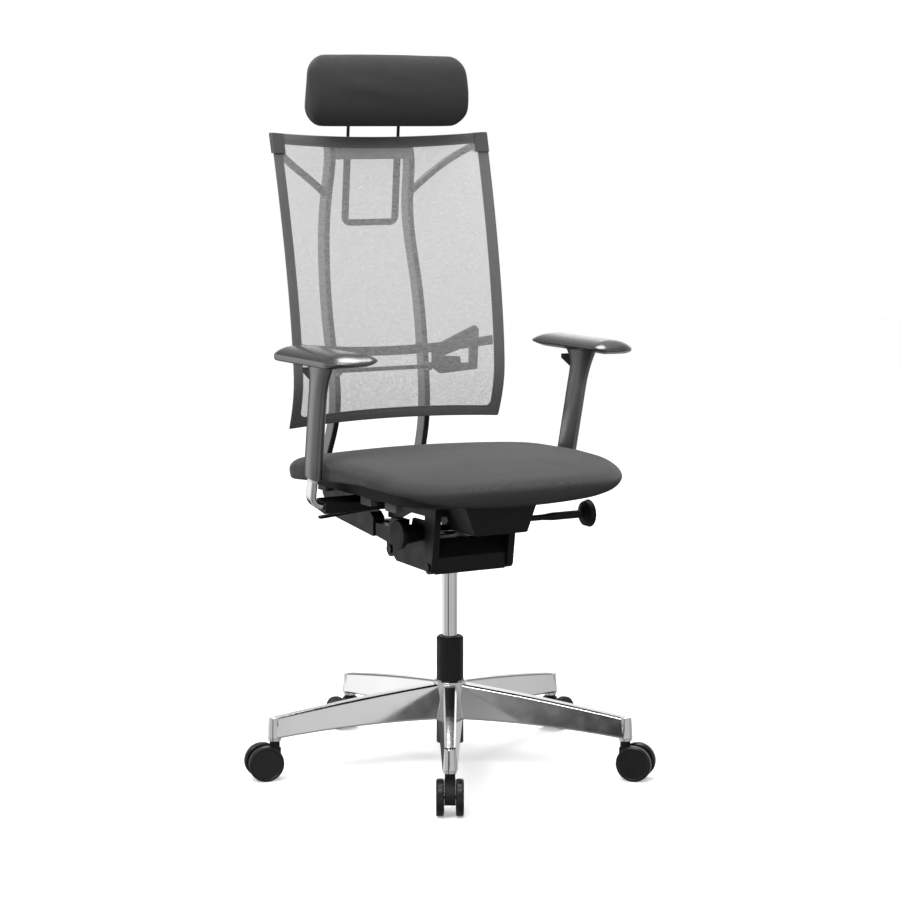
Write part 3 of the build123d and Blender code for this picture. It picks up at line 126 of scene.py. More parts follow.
def calc(tree, operation, first, second=0.0, third=0.0, clamp=False):
    made = add_node(
        tree, "ShaderNodeMath", {0: first, 1: second, 2: third}, operation=operation, use_clamp=clamp
    )
    return made.outputs[0]


def mix(tree, share, first, second):
    """The first level where the share is 0 and the second where it is 1."""
    return add_node(tree, "ShaderNodeMix", {0: share, 2: first, 3: second}).outputs[0]


def spread(tree, value, low, high, from_low=0.3, from_high=0.7, curve="LINEAR"):
    """The value carried from its own range, by default that of a noise, to low..high."""
    made = add_node(
        tree,
        "ShaderNodeMapRange",
        {0: value, 1: from_low, 2: from_high, 3: low, 4: high},
        interpolation_type=curve,
    )
    return made.outputs[0]


def split(tree, vector):
    return add_node(tree, "ShaderNodeSeparateXYZ", {0: vector}).outputs


def grey(level):
    return (level, level, level, 1.0)


def mirror_level(tree, direction):
    """Brightness of the studio in one direction: paler upwards, with dark and bright strips."""
    across, along, up = split(tree, direction)
    level = spread(tree, up, *mirror_levels, *mirror_rise)
    around = calc(tree, "ARCTAN2", along, across)
    for azimuth, reach, strength, least_up in mirror_lobes:
        alike = calc(tree, "COSINE", calc(tree, "SUBTRACT", around, math.radians(azimuth)))
        lobe = spread(tree, alike, 0.0, strength, math.cos(math.radians(reach)), 1.0, "SMOOTHSTEP")
        gate = spread(tree, up, 0.0, 1.0, least_up, least_up + lobe_fade)
        level = calc(tree, "MULTIPLY_ADD", lobe, gate, level)
    overhead = spread(tree, up, 1.0, overhead_dim, *overhead_fade)
    return calc(tree, "MAXIMUM", calc(tree, "MULTIPLY", level, overhead), mirror_least)


def add_world():
    """White to the camera, the studio in reflections, and a plain soft level for all else."""
    world = bpy.data.worlds.new("studio")
    bpy.context.scene.world = world
    world.use_nodes = True
    tree = world.node_tree
    tree.nodes.clear()
    path = add_node(tree, "ShaderNodeLightPath").outputs
    direction = add_node(tree, "ShaderNodeTexCoord").outputs["Generated"]
    up = split(tree, direction)["Z"]
    plain = calc(tree, "MULTIPLY_ADD", up, ambient_slope, ambient_level)
    level = mix(tree, path["Is Glossy Ray"], plain, mirror_level(tree, direction))
    seen = calc(tree, "MAXIMUM", path["Is Camera Ray"], path["Is Transmission Ray"])
    strength = mix(tree, seen, level, 1.0)
    background = add_node(tree, "ShaderNodeBackground", {"Color": grey(1.0), "Strength": strength})
    add_node(tree, "ShaderNodeOutputWorld", {"Surface": background.outputs[0]})


def add_lamp(name, place, target, size, power):
    data = bpy.data.lights.new(name, "AREA")
    data.size = size
    data.energy = power
    lamp = add_object(name, data)
    lamp.location = place
    lamp.rotation_euler = (Vector(target) - Vector(place)).to_track_quat("-Z", "Y").to_euler()


def start_material(name):
    """A new material: itself, its node tree, its shader and a socket with the piece's own space."""
    material = bpy.data.materials.new(name)
    material.use_nodes = True
    tree = material.node_tree
    place = add_node(tree, "ShaderNodeTexCoord").outputs["Object"]
    return material, tree, tree.nodes["Principled BSDF"], place


def add_floor():
    """A plain floor, pale to the camera. Shiny pieces reflect the studio in its place."""
    half = floor_size / 2
    corners = [(-half, -half, 0), (half, -half, 0), (half, half, 0), (-half, half, 0)]
    mesh = bpy.data.meshes.new("floor")
    mesh.from_pydata(corners, [], [(0, 1, 2, 3)])
    floor = add_object("floor", mesh)
    floor.visible_glossy = False
    material, tree, surface, _ = start_material("floor")
    camera_ray = add_node(tree, "ShaderNodeLightPath").outputs["Is Camera Ray"]
    feed(tree, surface, {
        "Base Color": mix(tree, camera_ray, floor_bounce, floor_shade),
        "Roughness": floor_roughness,
        "Specular IOR Level": 0.0,
        "Emission Color": grey(1.0),
        "Emission Strength": calc(tree, "MULTIPLY", camera_ray, floor_glow),
    })
    mesh.materials.append(material)


bpy.context.scene.view_settings.view_transform = "Standard"
add_camera()
add_world()
for lamp_name, lamp_values in lamps.items():
    add_lamp(lamp_name, *lamp_values)
add_floor()


# ------------------------------------------------------------------ materials
# scales are those of a noise, per metre; a tone is the least and the most share of a shade
cloud_scale = 9.0
smudge_scale = 38.0
bevel_samples = 4
edge_gain = 4.0

brushed_cloud_scale = 14.0
brushed_tone = (0.93, 1.05)
brushed_edge = 0.8 * MM
# how much paler the brushed edges are: partly wear, partly a painted highlight
brush_wear_and_highlight = 0.1
brush_depth = 0.03 * MM
strip_shade = 0.012
strip_range = (-0.75, -0.6)

yarn_scale = 700.0
yarn_relief = 0.4
thread_gain = 0.33
thread_range = (0.2, 0.8)
thread_tone = (0.8, 1.15)
cloth_cloud_scale = 7.0
cloth_cloud_tone = (0.93, 1.07)
cloth_rough = (0.82, 0.98)
cloth_gloss = 0.25
cloth_strength = 0.8
sheen_rough = 0.45

row_pitch = 1.9 * MM
column_pitch = 1.5 * MM
knit_swing = 0.3
knit_depth = 0.3 * MM
knit_strength = 0.7
uneven_scales = (90, 90, 260)
uneven_swing = 0.05
uneven_tone = (0.94, 1.06)
fleck_scales = (420, 420, 620)
fleck_swing = 0.13
mesh_rough = 0.85
mesh_gloss = 0.1


def noise_at(tree, place, scale, detail=3.0):
    inputs = {"Vector": place, "Scale": scale, "Detail": detail}
    return add_node(tree, "ShaderNodeTexNoise", inputs).outputs[0]


def stretched_noise(tree, place, scales, detail):
    """Noise with its own scale on X, Y and Z."""
    stretched = add_node(tree, "ShaderNodeMapping", {"Vector": place, "Scale": scales}).outputs[0]
    return noise_at(tree, stretched, 1.0, detail)


def toned(shade, tone):
    return [shade * share for share in tone]


def tint(tree, level):
    return add_node(tree, "ShaderNodeCombineColor", {0: level, 1: level, 2: level}).outputs[0]


def bump(tree, height, distance, strength=1.0, **normal):
    inputs = {"Height": height, "Distance": distance, "Strength": strength, **normal}
    return add_node(tree, "ShaderNodeBump", inputs).outputs[0]


def edge_mask(tree, radius):
    """Rises from 0 on flat faces to 1 on the object's sharp edges; also the rounded normal."""
    soft = add_node(tree, "ShaderNodeBevel", {"Radius": radius}, samples=bevel_samples).outputs[0]
    flat = add_node(tree, "ShaderNodeNewGeometry").outputs["Normal"]
    alike = add_node(
        tree, "ShaderNodeVectorMath", {0: soft, 1: flat}, operation="DOT_PRODUCT"
    ).outputs["Value"]
    turned = calc(tree, "SUBTRACT", 1.0, alike)
    return calc(tree, "MULTIPLY", turned, edge_gain, clamp=True), soft


def hard_finish(name, shade, metallic, rough, grain, depth, edge_wear_and_highlight=0.0, edge=0.8, blotch=0.08, gloss=0.5):
    """Metal, paint or moulded plastic: grain in the surface, uneven gloss and paler edges.

    rough is (least, most), grain the scale of the bumps per metre, and depth, their height, and
    edge, the reach of the paler edge, are in millimetres. edge_wear_and_highlight is how much paler
    an edge is: partly wear, partly a painted highlight.
    """
    material, tree, surface, place = start_material(name)
    cloud = noise_at(tree, place, cloud_scale)
    smudge = noise_at(tree, place, smudge_scale, detail=4.0)
    fine = noise_at(tree, place, grain, detail=2.0)
    mask, soft = edge_mask(tree, edge * MM)
    level = spread(tree, cloud, shade * (1 - blotch), shade * (1 + blotch))
    # edges painted paler: partly wear, partly a painted highlight along the edges
    level = calc(tree, "MULTIPLY_ADD", mask, edge_wear_and_highlight, level)
    feed(tree, surface, {
        "Base Color": tint(tree, level),
        "Metallic": metallic,
        "Specular IOR Level": gloss,
        "Roughness": spread(tree, smudge, *rough),
        "Normal": bump(tree, fine, depth * MM, Normal=soft),
    })
    return material


def brushed_finish(name, shade, rough, along):
    """Metal with a fine directional brushing; along is its scale on X, Y and Z."""
    material, tree, surface, place = start_material(name)
    lines = stretched_noise(tree, place, along, detail=4.0)
    cloud = noise_at(tree, place, brushed_cloud_scale)
    mask, soft = edge_mask(tree, brushed_edge)
    level = spread(tree, cloud, *toned(shade, brushed_tone))
    # edges painted paler: partly wear, partly a painted highlight along the edges
    level = calc(tree, "MULTIPLY_ADD", mask, brush_wear_and_highlight, level)
    feed(tree, surface, {
        "Base Color": tint(tree, level),
        "Metallic": 1.0,
        "Roughness": spread(tree, lines, *rough),
        "Normal": bump(tree, lines, brush_depth, Normal=soft),
    })
    return material


def darken_front(material):
    """Turns the faces that look forward, in the piece's own space, into a black strip."""
    tree = material.node_tree
    surface = tree.nodes["Principled BSDF"]
    normal = add_node(tree, "ShaderNodeTexCoord").outputs["Normal"]
    front = spread(tree, split(tree, normal)["Y"], 1.0, 0.0, *strip_range)
    base = surface.inputs["Base Color"].links[0].from_socket
    shade = add_node(tree, "ShaderNodeMix", {0: front, 6: base, 7: grey(strip_shade)}, data_type="RGBA")
    feed(tree, surface, {
        "Base Color": shade.outputs[2],
        "Metallic": calc(tree, "SUBTRACT", 1.0, front),
    })


def thread_height(tree, place, pitch):
    """A knobbly lattice of threads that reads the same on every face of a soft piece."""
    scaled = add_node(
        tree, "ShaderNodeVectorMath", {0: place, "Scale": 2 * math.pi / pitch}, operation="SCALE"
    ).outputs[0]
    waves = [calc(tree, "SINE", part) for part in split(tree, scaled)]
    products = [calc(tree, "MULTIPLY", waves[i], waves[i - 1]) for i in range(3)]
    total = calc(tree, "ADD", calc(tree, "ADD", products[0], products[1]), products[2])
    return calc(tree, "MULTIPLY_ADD", total, thread_gain, 0.5)


def cloth_finish(name, shade, pitch, depth, melange, sheen):
    """Woven upholstery: threads of uneven tone, a soft sheen and shallow relief.

    pitch, from thread to thread, and depth are in millimetres; melange is the unevenness.
    """
    material, tree, surface, place = start_material(name)
    threads = thread_height(tree, place, pitch * MM)
    yarn = noise_at(tree, place, yarn_scale, detail=2.0)
    cloud = noise_at(tree, place, cloth_cloud_scale, detail=4.0)
    level = spread(tree, yarn, shade * (1 - melange), shade * (1 + melange))
    level = calc(tree, "MULTIPLY", level, spread(tree, cloud, *cloth_cloud_tone))
    level = calc(tree, "MULTIPLY", level, spread(tree, threads, *thread_tone, *thread_range))
    relief = calc(tree, "MULTIPLY_ADD", yarn, yarn_relief, threads)
    feed(tree, surface, {
        "Base Color": tint(tree, level),
        "Roughness": spread(tree, yarn, *cloth_rough),
        "Specular IOR Level": cloth_gloss,
        "Sheen Weight": sheen,
        "Sheen Roughness": sheen_rough,
        "Normal": bump(tree, relief, depth * MM, cloth_strength),
    })
    return material


def mesh_finish(name, shade, cover):
    """Open knitted mesh: rows of threads with holes between them, which let light through.

    cover is the share that the threads cover.
    """
    material, tree, surface, place = start_material(name)
    parts = split(tree, place)
    rows = calc(tree, "SINE", calc(tree, "MULTIPLY", parts["Z"], 2 * math.pi / row_pitch))
    columns = calc(tree, "SINE", calc(tree, "MULTIPLY", parts["X"], 2 * math.pi / column_pitch))
    uneven = stretched_noise(tree, place, uneven_scales, detail=3.0)
    flecks = stretched_noise(tree, place, fleck_scales, detail=2.0)
    knit = calc(tree, "MULTIPLY_ADD", calc(tree, "MULTIPLY", rows, columns), knit_swing, cover)
    knit = calc(tree, "ADD", knit, spread(tree, uneven, -uneven_swing, uneven_swing))
    fleck = spread(tree, flecks, -fleck_swing, fleck_swing)
    feed(tree, surface, {
        "Base Color": tint(tree, spread(tree, uneven, *toned(shade, uneven_tone))),
        "Alpha": calc(tree, "ADD", knit, fleck, clamp=True),
        "Roughness": mesh_rough,
        "Specular IOR Level": mesh_gloss,
        "Normal": bump(tree, knit, knit_depth, knit_strength),
    })
    return material


metal = {"metallic": 1.0}
plastic = {"metallic": 0.0}
paint = {"metallic": 0.85, "grain": 1400.0, "depth": 0.002, "edge_wear_and_highlight": 0.03, "blotch": 0.03}
brushed_upwards = {"rough": (0.32, 0.48), "along": (900, 900, 14)}
hard_looks = {
    "polished_alloy": metal | {
        "shade": 0.70, "rough": (0.08, 0.16), "grain": 260.0, "depth": 0.004,
        "edge_wear_and_highlight": 0.08, "edge": 1.6, "blotch": 0.03,
    },
    "chrome": metal | {
        "shade": 0.72, "rough": (0.04, 0.08), "grain": 300.0, "depth": 0.002,
        "edge": 0.4, "blotch": 0.02,
    },
    "grey_paint": paint | {"shade": 0.22, "rough": (0.27, 0.30), "edge": 1.0},
    # a darker copy of the grey paint for the armrest pads: painted shade, darkening their walls and tops
    "pad_paint_with_painted_shade": paint | {"shade": 0.15, "rough": (0.24, 0.28)},
    "black_metal": plastic | {
        "shade": 0.012, "rough": (0.36, 0.5), "grain": 1500.0, "depth": 0.02,
        "edge_wear_and_highlight": 0.02, "gloss": 0.2,
    },
    "black_plastic": plastic | {
        "shade": 0.010, "rough": (0.42, 0.58), "grain": 1100.0, "depth": 0.03,
        "edge_wear_and_highlight": 0.015, "gloss": 0.2,
    },
    "grey_plastic": plastic | {
        "shade": 0.07, "rough": (0.45, 0.6), "grain": 1200.0, "depth": 0.03, "edge_wear_and_highlight": 0.03,
    },
    "wheel_plastic": plastic | {
        "shade": 0.010, "rough": (0.25, 0.38), "grain": 700.0, "depth": 0.01,
        "edge_wear_and_highlight": 0.02, "blotch": 0.03, "gloss": 0.35,
    },
}
brushed_looks = {
    "satin_alloy": brushed_upwards | {"shade": 0.42},
    "upright_alloy": brushed_upwards | {"shade": 0.18},
    "bright_steel": {"shade": 0.5, "rough": (0.25, 0.4), "along": (60, 60, 900)},
}
cloth_looks = {
    "seat_fabric": {"shade": 0.037, "pitch": 1.3, "depth": 0.25, "melange": 0.35, "sheen": 0.25},
    "headrest_fabric": {"shade": 0.038, "pitch": 1.1, "depth": 0.2, "melange": 0.25, "sheen": 0.2},
    "band_fabric": {"shade": 0.15, "pitch": 1.0, "depth": 0.2, "melange": 0.2, "sheen": 0.1},
}

finishes = {"mesh_fabric": mesh_finish("mesh_fabric", shade=0.42, cover=0.58)}
for make_finish, looks in (
    (hard_finish, hard_looks),
    (brushed_finish, brushed_looks),
    (cloth_finish, cloth_looks),
):
    for finish_name, look in looks.items():
        finishes[finish_name] = make_finish(finish_name, **look)
darken_front(finishes["upright_alloy"])

slot_of = {part["node"]: part["material_slot"] for part in record["subparts"]}
for node_name, node in nodes.items():
    finish_name = "upright_alloy" if node_name.endswith("_upright") else slot_of[node_name]
    node.data.materials.clear()
    node.data.materials.append(finishes[finish_name])


# ------------------------------------------------------------------ building pieces
def mesh_from(form, name):
    mesh = bpy.data.meshes.new(name)
    form.to_mesh(mesh)
    form.free()
    return mesh


def shade_smooth(mesh):
    mesh.polygons.foreach_set("use_smooth", [True] * len(mesh.polygons))


def new_piece(name, form, slot, body):
    mesh = mesh_from(form, name)
    shade_smooth(mesh)
    mesh.materials.append(finishes[slot])
    piece = add_object(name, mesh)
    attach(piece, body)
    return piece


def bake_modifiers(piece):
    """Makes the piece's mesh what its modifiers show, and leaves no modifier on it."""
    graph = bpy.context.evaluated_depsgraph_get()
    made = bpy.data.meshes.new_from_object(piece.evaluated_get(graph))
    piece.modifiers.clear()
    piece.data = made


def add_modifier(piece, name, kind, **settings):
    made = piece.modifiers.new(name, kind)
    for key, value in settings.items():
        setattr(made, key, value)
    return made


def loft(name, rings, slot, body, looped=False):
    """A smooth skin over closed rings of points, capped at both ends or looped end to end."""
    count = len(rings[0])
    form = bmesh.new()
    grid = [[form.verts.new(point) for point in ring] for ring in rings]
    following = grid[1:] + grid[:1] if looped else grid[1:]
    for lower, upper in zip(grid, following):
        for i in range(count):
            j = (i + 1) % count
            form.faces.new((lower[i], lower[j], upper[j], upper[i]))
    if not looped:
        form.faces.new(list(reversed(grid[0])))
        form.faces.new(grid[-1])
    bmesh.ops.recalc_face_normals(form, faces=form.faces)
    return new_piece(name, form, slot, body)


def between(start, end, share):
    """The point at a share of the way from start to end."""
    return tuple(a + (b - a) * share for a, b in zip(start, end))


def smoothstep(value, low, high):
    share = min(max((value - low) / (high - low), 0.0), 1.0)
    return share * share * (3 - 2 * share)


def bell(value, middle, reach):
    """1 at the middle, falling smoothly to 0 at the reach either side of it."""
    return 1 - smoothstep(abs(value - middle), 0.0, reach)


def rolled(share):
    """Rises steeply from 0 and levels off at 1, as the rounded edge of a pad does."""
    return 1 - (1 - min(share, 1.0)) ** 2


def bowed(value, half):
    """1 in the middle of a width, falling to 0 at its ends as a shallow arc does."""
    return 1 - (value / half) ** 2


def line_at(points, place):
    """Height of the broken line through (place, height) points."""
    for (x0, z0), (x1, z1) in zip(points, points[1:]):
        if place <= x1 or (x1, z1) == points[-1]:
            return z0 + (z1 - z0) * min(max((place - x0) / (x1 - x0), 0.0), 1.0)


def rounded_ring(edges, radii, edge_steps, corner_steps):
    """Points round a closed run of edges, each (function of 0..1, length), corners rounded.

    radii holds how far each corner, at the end of its edge, is cut back along both edges.
    The steps are those along each edge and round each corner.
    """
    points = []
    for index, (edge, length) in enumerate(edges):
        following, next_length = edges[(index + 1) % len(edges)]
        start, end = radii[index - 1] / length, 1 - radii[index] / length
        for step in range(edge_steps + 1):
            points.append(edge(start + (end - start) * step / edge_steps))
        corner, first, last = edge(1), edge(end), following(radii[index] / next_length)
        for step in range(1, corner_steps):
            t = step / corner_steps
            points.append(
                tuple(
                    (1 - t) ** 2 * a + 2 * t * (1 - t) * b + t * t * c
                    for a, b, c in zip(first, corner, last)
                )
            )
    return points


# ------------------------------------------------------------------ soft pads
frames_to_swell = 12


def swell(piece, pressure, cap, held):
    """Inflates the piece as cloth. held picks points that stay; none moves further than cap."""
    fixed = piece.vertex_groups.new(name="held")
    fixed.add([v.index for v in piece.data.vertices if held(v.co)], 1.0, "REPLACE")
    cloth = add_modifier(piece, "cloth", "CLOTH")
    cloth.settings.use_pressure = True
    cloth.settings.uniform_pressure_force = pressure
    cloth.settings.effector_weights.gravity = 0.0
    cloth.settings.vertex_group_mass = "held"
    cloth.collision_settings.use_collision = False
    for number in range(1, frames_to_swell + 1):
        bpy.context.scene.frame_set(number)
    graph = bpy.context.evaluated_depsgraph_get()
    swollen = [v.co.copy() for v in piece.evaluated_get(graph).data.vertices]
    for vertex, target in zip(piece.data.vertices, swollen):
        move = target - vertex.co
        if move.length > cap:
            move *= cap / move.length
        vertex.co += move
    piece.modifiers.clear()
    piece.vertex_groups.clear()
    bpy.context.scene.frame_set(1)


def refine(piece):
    """Subdivides the piece once, on top of the modifiers that it has."""
    add_modifier(piece, "finer", "SUBSURF", levels=1, render_levels=1)
    bake_modifiers(piece)
    shade_smooth(piece.data)


def finish_pad(piece, node_name, relax=3):
    add_modifier(piece, "relax", "SMOOTH", factor=0.5, iterations=relax)
    refine(piece)
    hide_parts(node_name)


seat_half_width = 249 * MM
seat_front_y = -284 * MM
seat_rear_y = 202 * MM
seat_bow = 22 * MM
seat_corners = (112 * MM, 52 * MM)
seat_taper = 3 * MM
# distance back and height in millimetres: the cushion's foot along its side, and its crown
seat_foot_line = (
    (-300, 503), (-270, 528), (-234, 545), (-190, 550), (-116, 553), (-35, 548), (112, 535), (215, 527),
)
seat_crown_line = (
    (-300, 560), (-262, 570), (-225, 579), (-160, 588), (-70, 591.5), (70, 589), (150, 583), (215, 573),
)
seat_foot_gap = 0.6 * MM
seat_side_drop = 9 * MM
# the rounding over the edge: how far it reaches inwards and how tall it is
seat_round = 25 * MM
seat_round_rise = seat_round * 0.62
seat_round_steps = 7
# underside and side wall: inset in millimetres, share of the height up to the rounding
seat_wall = (
    (60, 0.1), (20, 0.06), (7, 0.0), (3.5, 0.02), (1.5, 0.1), (0, 0.28), (0, 0.42),
)
seat_wall_top = 0.45
seat_top_insets = (44, 60, 80, 104, 132, 162, 192, 218)
# dents in the right flank, a hollow and a fold, in millimetres: depth, middle and reach along
# the seat, and where across the seat each starts and is deepest
seat_dents = ((11, 58, 62, 175, 235), (6, -185, 50, 175, 240))
seat_dent_z = 566 * MM
seat_dent_reach = 34 * MM
seat_pressure = 3.0
seat_swell = 1.2 * MM
seat_held_z = 555.84 * MM
seat_ring_steps = (22, 10)


def seat_ring(inset):
    """Plan of the seat at one inset from its edge."""
    half = seat_half_width - inset
    front, rear = seat_front_y + inset, seat_rear_y - inset
    corner = front + seat_bow
    rear_half = half - seat_taper
    shrink = half / seat_half_width

    def front_edge(share):
        x = half * (2 * share - 1)
        return x, corner - seat_bow * bowed(x, half)

    def straight(start, end):
        return lambda share: between(start, end, share)

    edges = (
        (front_edge, 2 * half),
        (straight((half, corner), (rear_half, rear)), rear - corner),
        (straight((rear_half, rear), (-rear_half, rear)), 2 * rear_half),
        (straight((-rear_half, rear), (-half, corner)), rear - corner),
    )
    front_radius, rear_radius = (radius * shrink for radius in seat_corners)
    radii = (front_radius, rear_radius, rear_radius, front_radius)
    return rounded_ring(edges, radii, *seat_ring_steps)


def seat_heights(x, y):
    """Lowest and highest point of the cushion over one place."""
    foot = line_at(seat_foot_line, y / MM) * MM
    crown = line_at(seat_crown_line, y / MM) * MM
    return foot + seat_foot_gap, crown - seat_side_drop * (x / seat_half_width) ** 2


def seat_dent(place):
    """How far the flank is drawn in at one place."""
    total = 0.0
    for depth, middle, reach, start, deepest in seat_dents:
        along = bell(place.y, middle * MM, reach * MM)
        total += depth * MM * along * smoothstep(-place.x, start * MM, deepest * MM)
    return total * bell(place.z, seat_dent_z, seat_dent_reach)


def make_seat_pad():
    """The seat: a taut cover over thick foam, held round its edge by the pan."""
    rings = []
    for inset, share in seat_wall:
        ring = []
        for x, y in seat_ring(inset * MM):
            foot, crown = seat_heights(x, y)
            ring.append(Vector((x, y, foot + (crown - seat_round_rise - foot) * share / seat_wall_top)))
        rings.append(ring)
    for step in range(1, seat_round_steps + 1):
        angle = math.pi / 2 * step / seat_round_steps
        drop = seat_round_rise * (1 - math.sin(angle))
        plan = seat_ring(seat_round * (1 - math.cos(angle)))
        rings.append([Vector((x, y, seat_heights(x, y)[1] - drop)) for x, y in plan])
    for inset in seat_top_insets:
        rings.append([Vector((x, y, seat_heights(x, y)[1])) for x, y in seat_ring(inset * MM)])
    for ring in rings:
        for place in ring:
            place.x += seat_dent(place)
    pad = loft("seat_pad", rings, "seat_fabric", "seat")
    swell(pad, seat_pressure, seat_swell, lambda place: place.z < seat_held_z)
    finish_pad(pad, "seat_cushion")


head_half_width = 168 * MM
head_low_z = 1176 * MM
head_high_z = 1310 * MM
head_front_y = 213 * MM
head_rear_y = 268.5 * MM
head_wrap = 6 * MM
head_corner = 19 * MM
# how much further back the front lies away from the belly, and forward the rear at the top
head_belly = 9 * MM
head_lean = 9 * MM
head_top_taper = 3 * MM
# where these lie, as shares of the height: the belly's middle and reach, and two ranges
head_belly_place = (0.42, 0.6)
head_lean_range = (0.1, 0.7)
head_taper_range = (0.45, 1.0)
# the most that a corner takes of the thickness
head_corner_share = 0.46
# the rounding over at the top and foot: its height, and how far each face draws in there
head_round = 36 * MM
head_end_turn = 34 * MM
head_front_turn = 20 * MM
head_rear_turn = 19 * MM
head_round_steps = 8
head_wall_steps = 10
# the seam near each end: place, half width, depth and how deep into the front it runs
head_seam_x = 152 * MM
head_seam_reach = 3.5 * MM
head_seam_depth = 1.2 * MM
head_seam_y = 250 * MM
head_seam_fade = 12 * MM
head_pressure = 2.0
head_swell = 1.0 * MM
head_ring_steps = (12, 6)


def head_ring(height, turn):
    """Plan of the headrest at one height. turn draws the form in where it rounds over."""
    share = (height - head_low_z) / (head_high_z - head_low_z)
    taper = head_top_taper * smoothstep(share, *head_taper_range)
    half = head_half_width - head_end_turn * turn - taper
    hollow = head_belly * (1 - bell(share, *head_belly_place))
    front = head_front_y + hollow + head_front_turn * turn
    lean = head_lean * smoothstep(share, *head_lean_range)
    rear = head_rear_y - lean - head_rear_turn * turn
    radius = min(head_corner, (rear - front) * head_corner_share)

    def edge(start, end):
        def wrapped(share):
            x, y = between(start, end, share)
            return x, y - head_wrap * (x / head_half_width) ** 2

        return wrapped

    corners = ((-half, front), (half, front), (half, rear), (-half, rear))
    lengths = (2 * half, rear - front, 2 * half, rear - front)
    edges = [(edge(corners[i], corners[(i + 1) % 4]), lengths[i]) for i in range(4)]
    return rounded_ring(edges, (radius,) * 4, *head_ring_steps)


def head_levels():
    """(height, turn) pairs up the headrest: turn is 1 at both ends and 0 along the wall."""
    angles = [math.pi / 2 * step / head_round_steps for step in range(head_round_steps + 1)]
    lower = [(head_low_z + head_round * (1 - math.cos(angle)), 1 - math.sin(angle)) for angle in angles]
    upper = [(head_high_z + head_low_z - height, turn) for height, turn in reversed(lower)]
    middle = [between(lower[-1], upper[0], step / head_wall_steps) for step in range(1, head_wall_steps)]
    return lower + middle + upper


def make_headrest_pad():
    """The headrest: a foam roll, fuller below, in a sewn cover with a seam near each end."""
    rings = [[Vector((x, y, height)) for x, y in head_ring(height, turn)] for height, turn in head_levels()]
    for ring in rings:
        for place in ring:
            seam = bell(abs(place.x), head_seam_x, head_seam_reach)
            place.y += head_seam_depth * seam * smoothstep(head_seam_y - place.y, 0.0, head_seam_fade)
    pad = loft("headrest_cover", rings, "headrest_fabric", "headrest")
    swell(pad, head_pressure, head_swell, lambda place: False)
    finish_pad(pad, "headrest_pad", relax=1)


make_seat_pad()
make_headrest_pad()


# ------------------------------------------------------------------ back
back_half_width = 231 * MM
back_bottom_half_width = 226 * MM
back_top_z = 1166 * MM
back_bottom_z = 620 * MM
back_top_dip = 9 * MM
back_bottom_rise = 6 * MM
back_sag = 24 * MM
lumbar_y = 181 * MM
lumbar_z = 715 * MM
# how far the back leans away above and below the lumbar height, and how suddenly
back_lean = (80 * MM, 1.5)
back_tuck = (23 * MM, 1.8)
band_width = 21 * MM
band_corner = 8 * MM
outer_corner = 3 * MM
band_front = 1.0 * MM
band_back = 2.5 * MM
# rolled edges and a welt: share of the width from the outer edge, of the thickness in front
# of the mesh, and behind it
band_profile = (
    (0.0, 0.0, 0.0),
    (0.012, 0.62, 0.62),
    (0.045, 0.95, 0.92),
    (0.10, 1.0, 1.0),
    (0.80, 1.0, 1.0),
    (0.845, 0.7, 1.0),
    (0.89, 1.0, 1.0),
    (0.955, 0.95, 0.92),
    (0.99, 0.6, 0.6),
    (1.0, 0.0, 0.0),
)
back_ring_steps = (28, 6)
mesh_tuck = band_width - 3 * MM
mesh_rows = 90
mesh_columns = 76


def back_y(x, z):
    """Middle of the mesh: bowed forward at the lumbar height and hollow across."""
    if z >= lumbar_z:
        reach, power = back_lean
        share = (z - lumbar_z) / (back_top_z - lumbar_z)
    else:
        reach, power = back_tuck
        share = (lumbar_z - z) / (lumbar_z - back_bottom_z)
    return lumbar_y + reach * share**power + back_sag * bowed(x, back_half_width)


def back_ring(inset):
    """Points (x, z) round the back at one inset from its edge, corners rounded."""
    top_half = back_half_width - inset
    bottom_half = back_bottom_half_width - inset
    top_z = back_top_z - inset
    bottom_z = back_bottom_z + inset
    radius = outer_corner + inset * band_corner / band_width

    def top(share):
        x = top_half * (2 * share - 1)
        return x, top_z - back_top_dip * bowed(x, top_half)

    def bottom(share):
        x = bottom_half * (1 - 2 * share)
        return x, bottom_z + back_bottom_rise * bowed(x, bottom_half)

    edges = (
        (top, 2 * top_half),
        (lambda share: between(top(1), bottom(0), share), top_z - bottom_z),
        (bottom, 2 * bottom_half),
        (lambda share: between(bottom(1), top(0), share), top_z - bottom_z),
    )
    return rounded_ring(edges, (radius,) * 4, *back_ring_steps)


def make_back_band():
    """The woven edge of the back: a flat band with rolled edges and a stitched welt."""
    loop = [(share, -front * band_front) for share, front, _ in band_profile]
    loop += [(share, behind * band_back) for share, _, behind in reversed(band_profile[1:-1])]
    rings = []
    for share, offset in loop:
        plan = back_ring(share * band_width)
        rings.append([Vector((x, back_y(x, z) + offset, z)) for x, z in plan])
    band = loft("back_band", rings, "band_fabric", "back", looped=True)
    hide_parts("back_frame")


def make_back_mesh():
    """The stretched mesh, one sheet from band to band, tucked under the band's inner edge."""
    form = bmesh.new()
    rows = []
    for row in range(mesh_rows + 1):
        share = row / mesh_rows
        half = back_bottom_half_width + (back_half_width - back_bottom_half_width) * share - mesh_tuck
        line = []
        for column in range(mesh_columns + 1):
            across = 2 * column / mesh_columns - 1
            top = back_top_z - mesh_tuck - back_top_dip * bowed(across, 1)
            bottom = back_bottom_z + mesh_tuck + back_bottom_rise * bowed(across, 1)
            x, z = across * half, bottom + (top - bottom) * share
            line.append(form.verts.new((x, back_y(x, z), z)))
        rows.append(line)
    for lower, upper in zip(rows, rows[1:]):
        for i in range(mesh_columns):
            form.faces.new((lower[i], lower[i + 1], upper[i + 1], upper[i]))
    sheet = new_piece("back_mesh", form, "mesh_fabric", "back")
    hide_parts("mesh_panel")


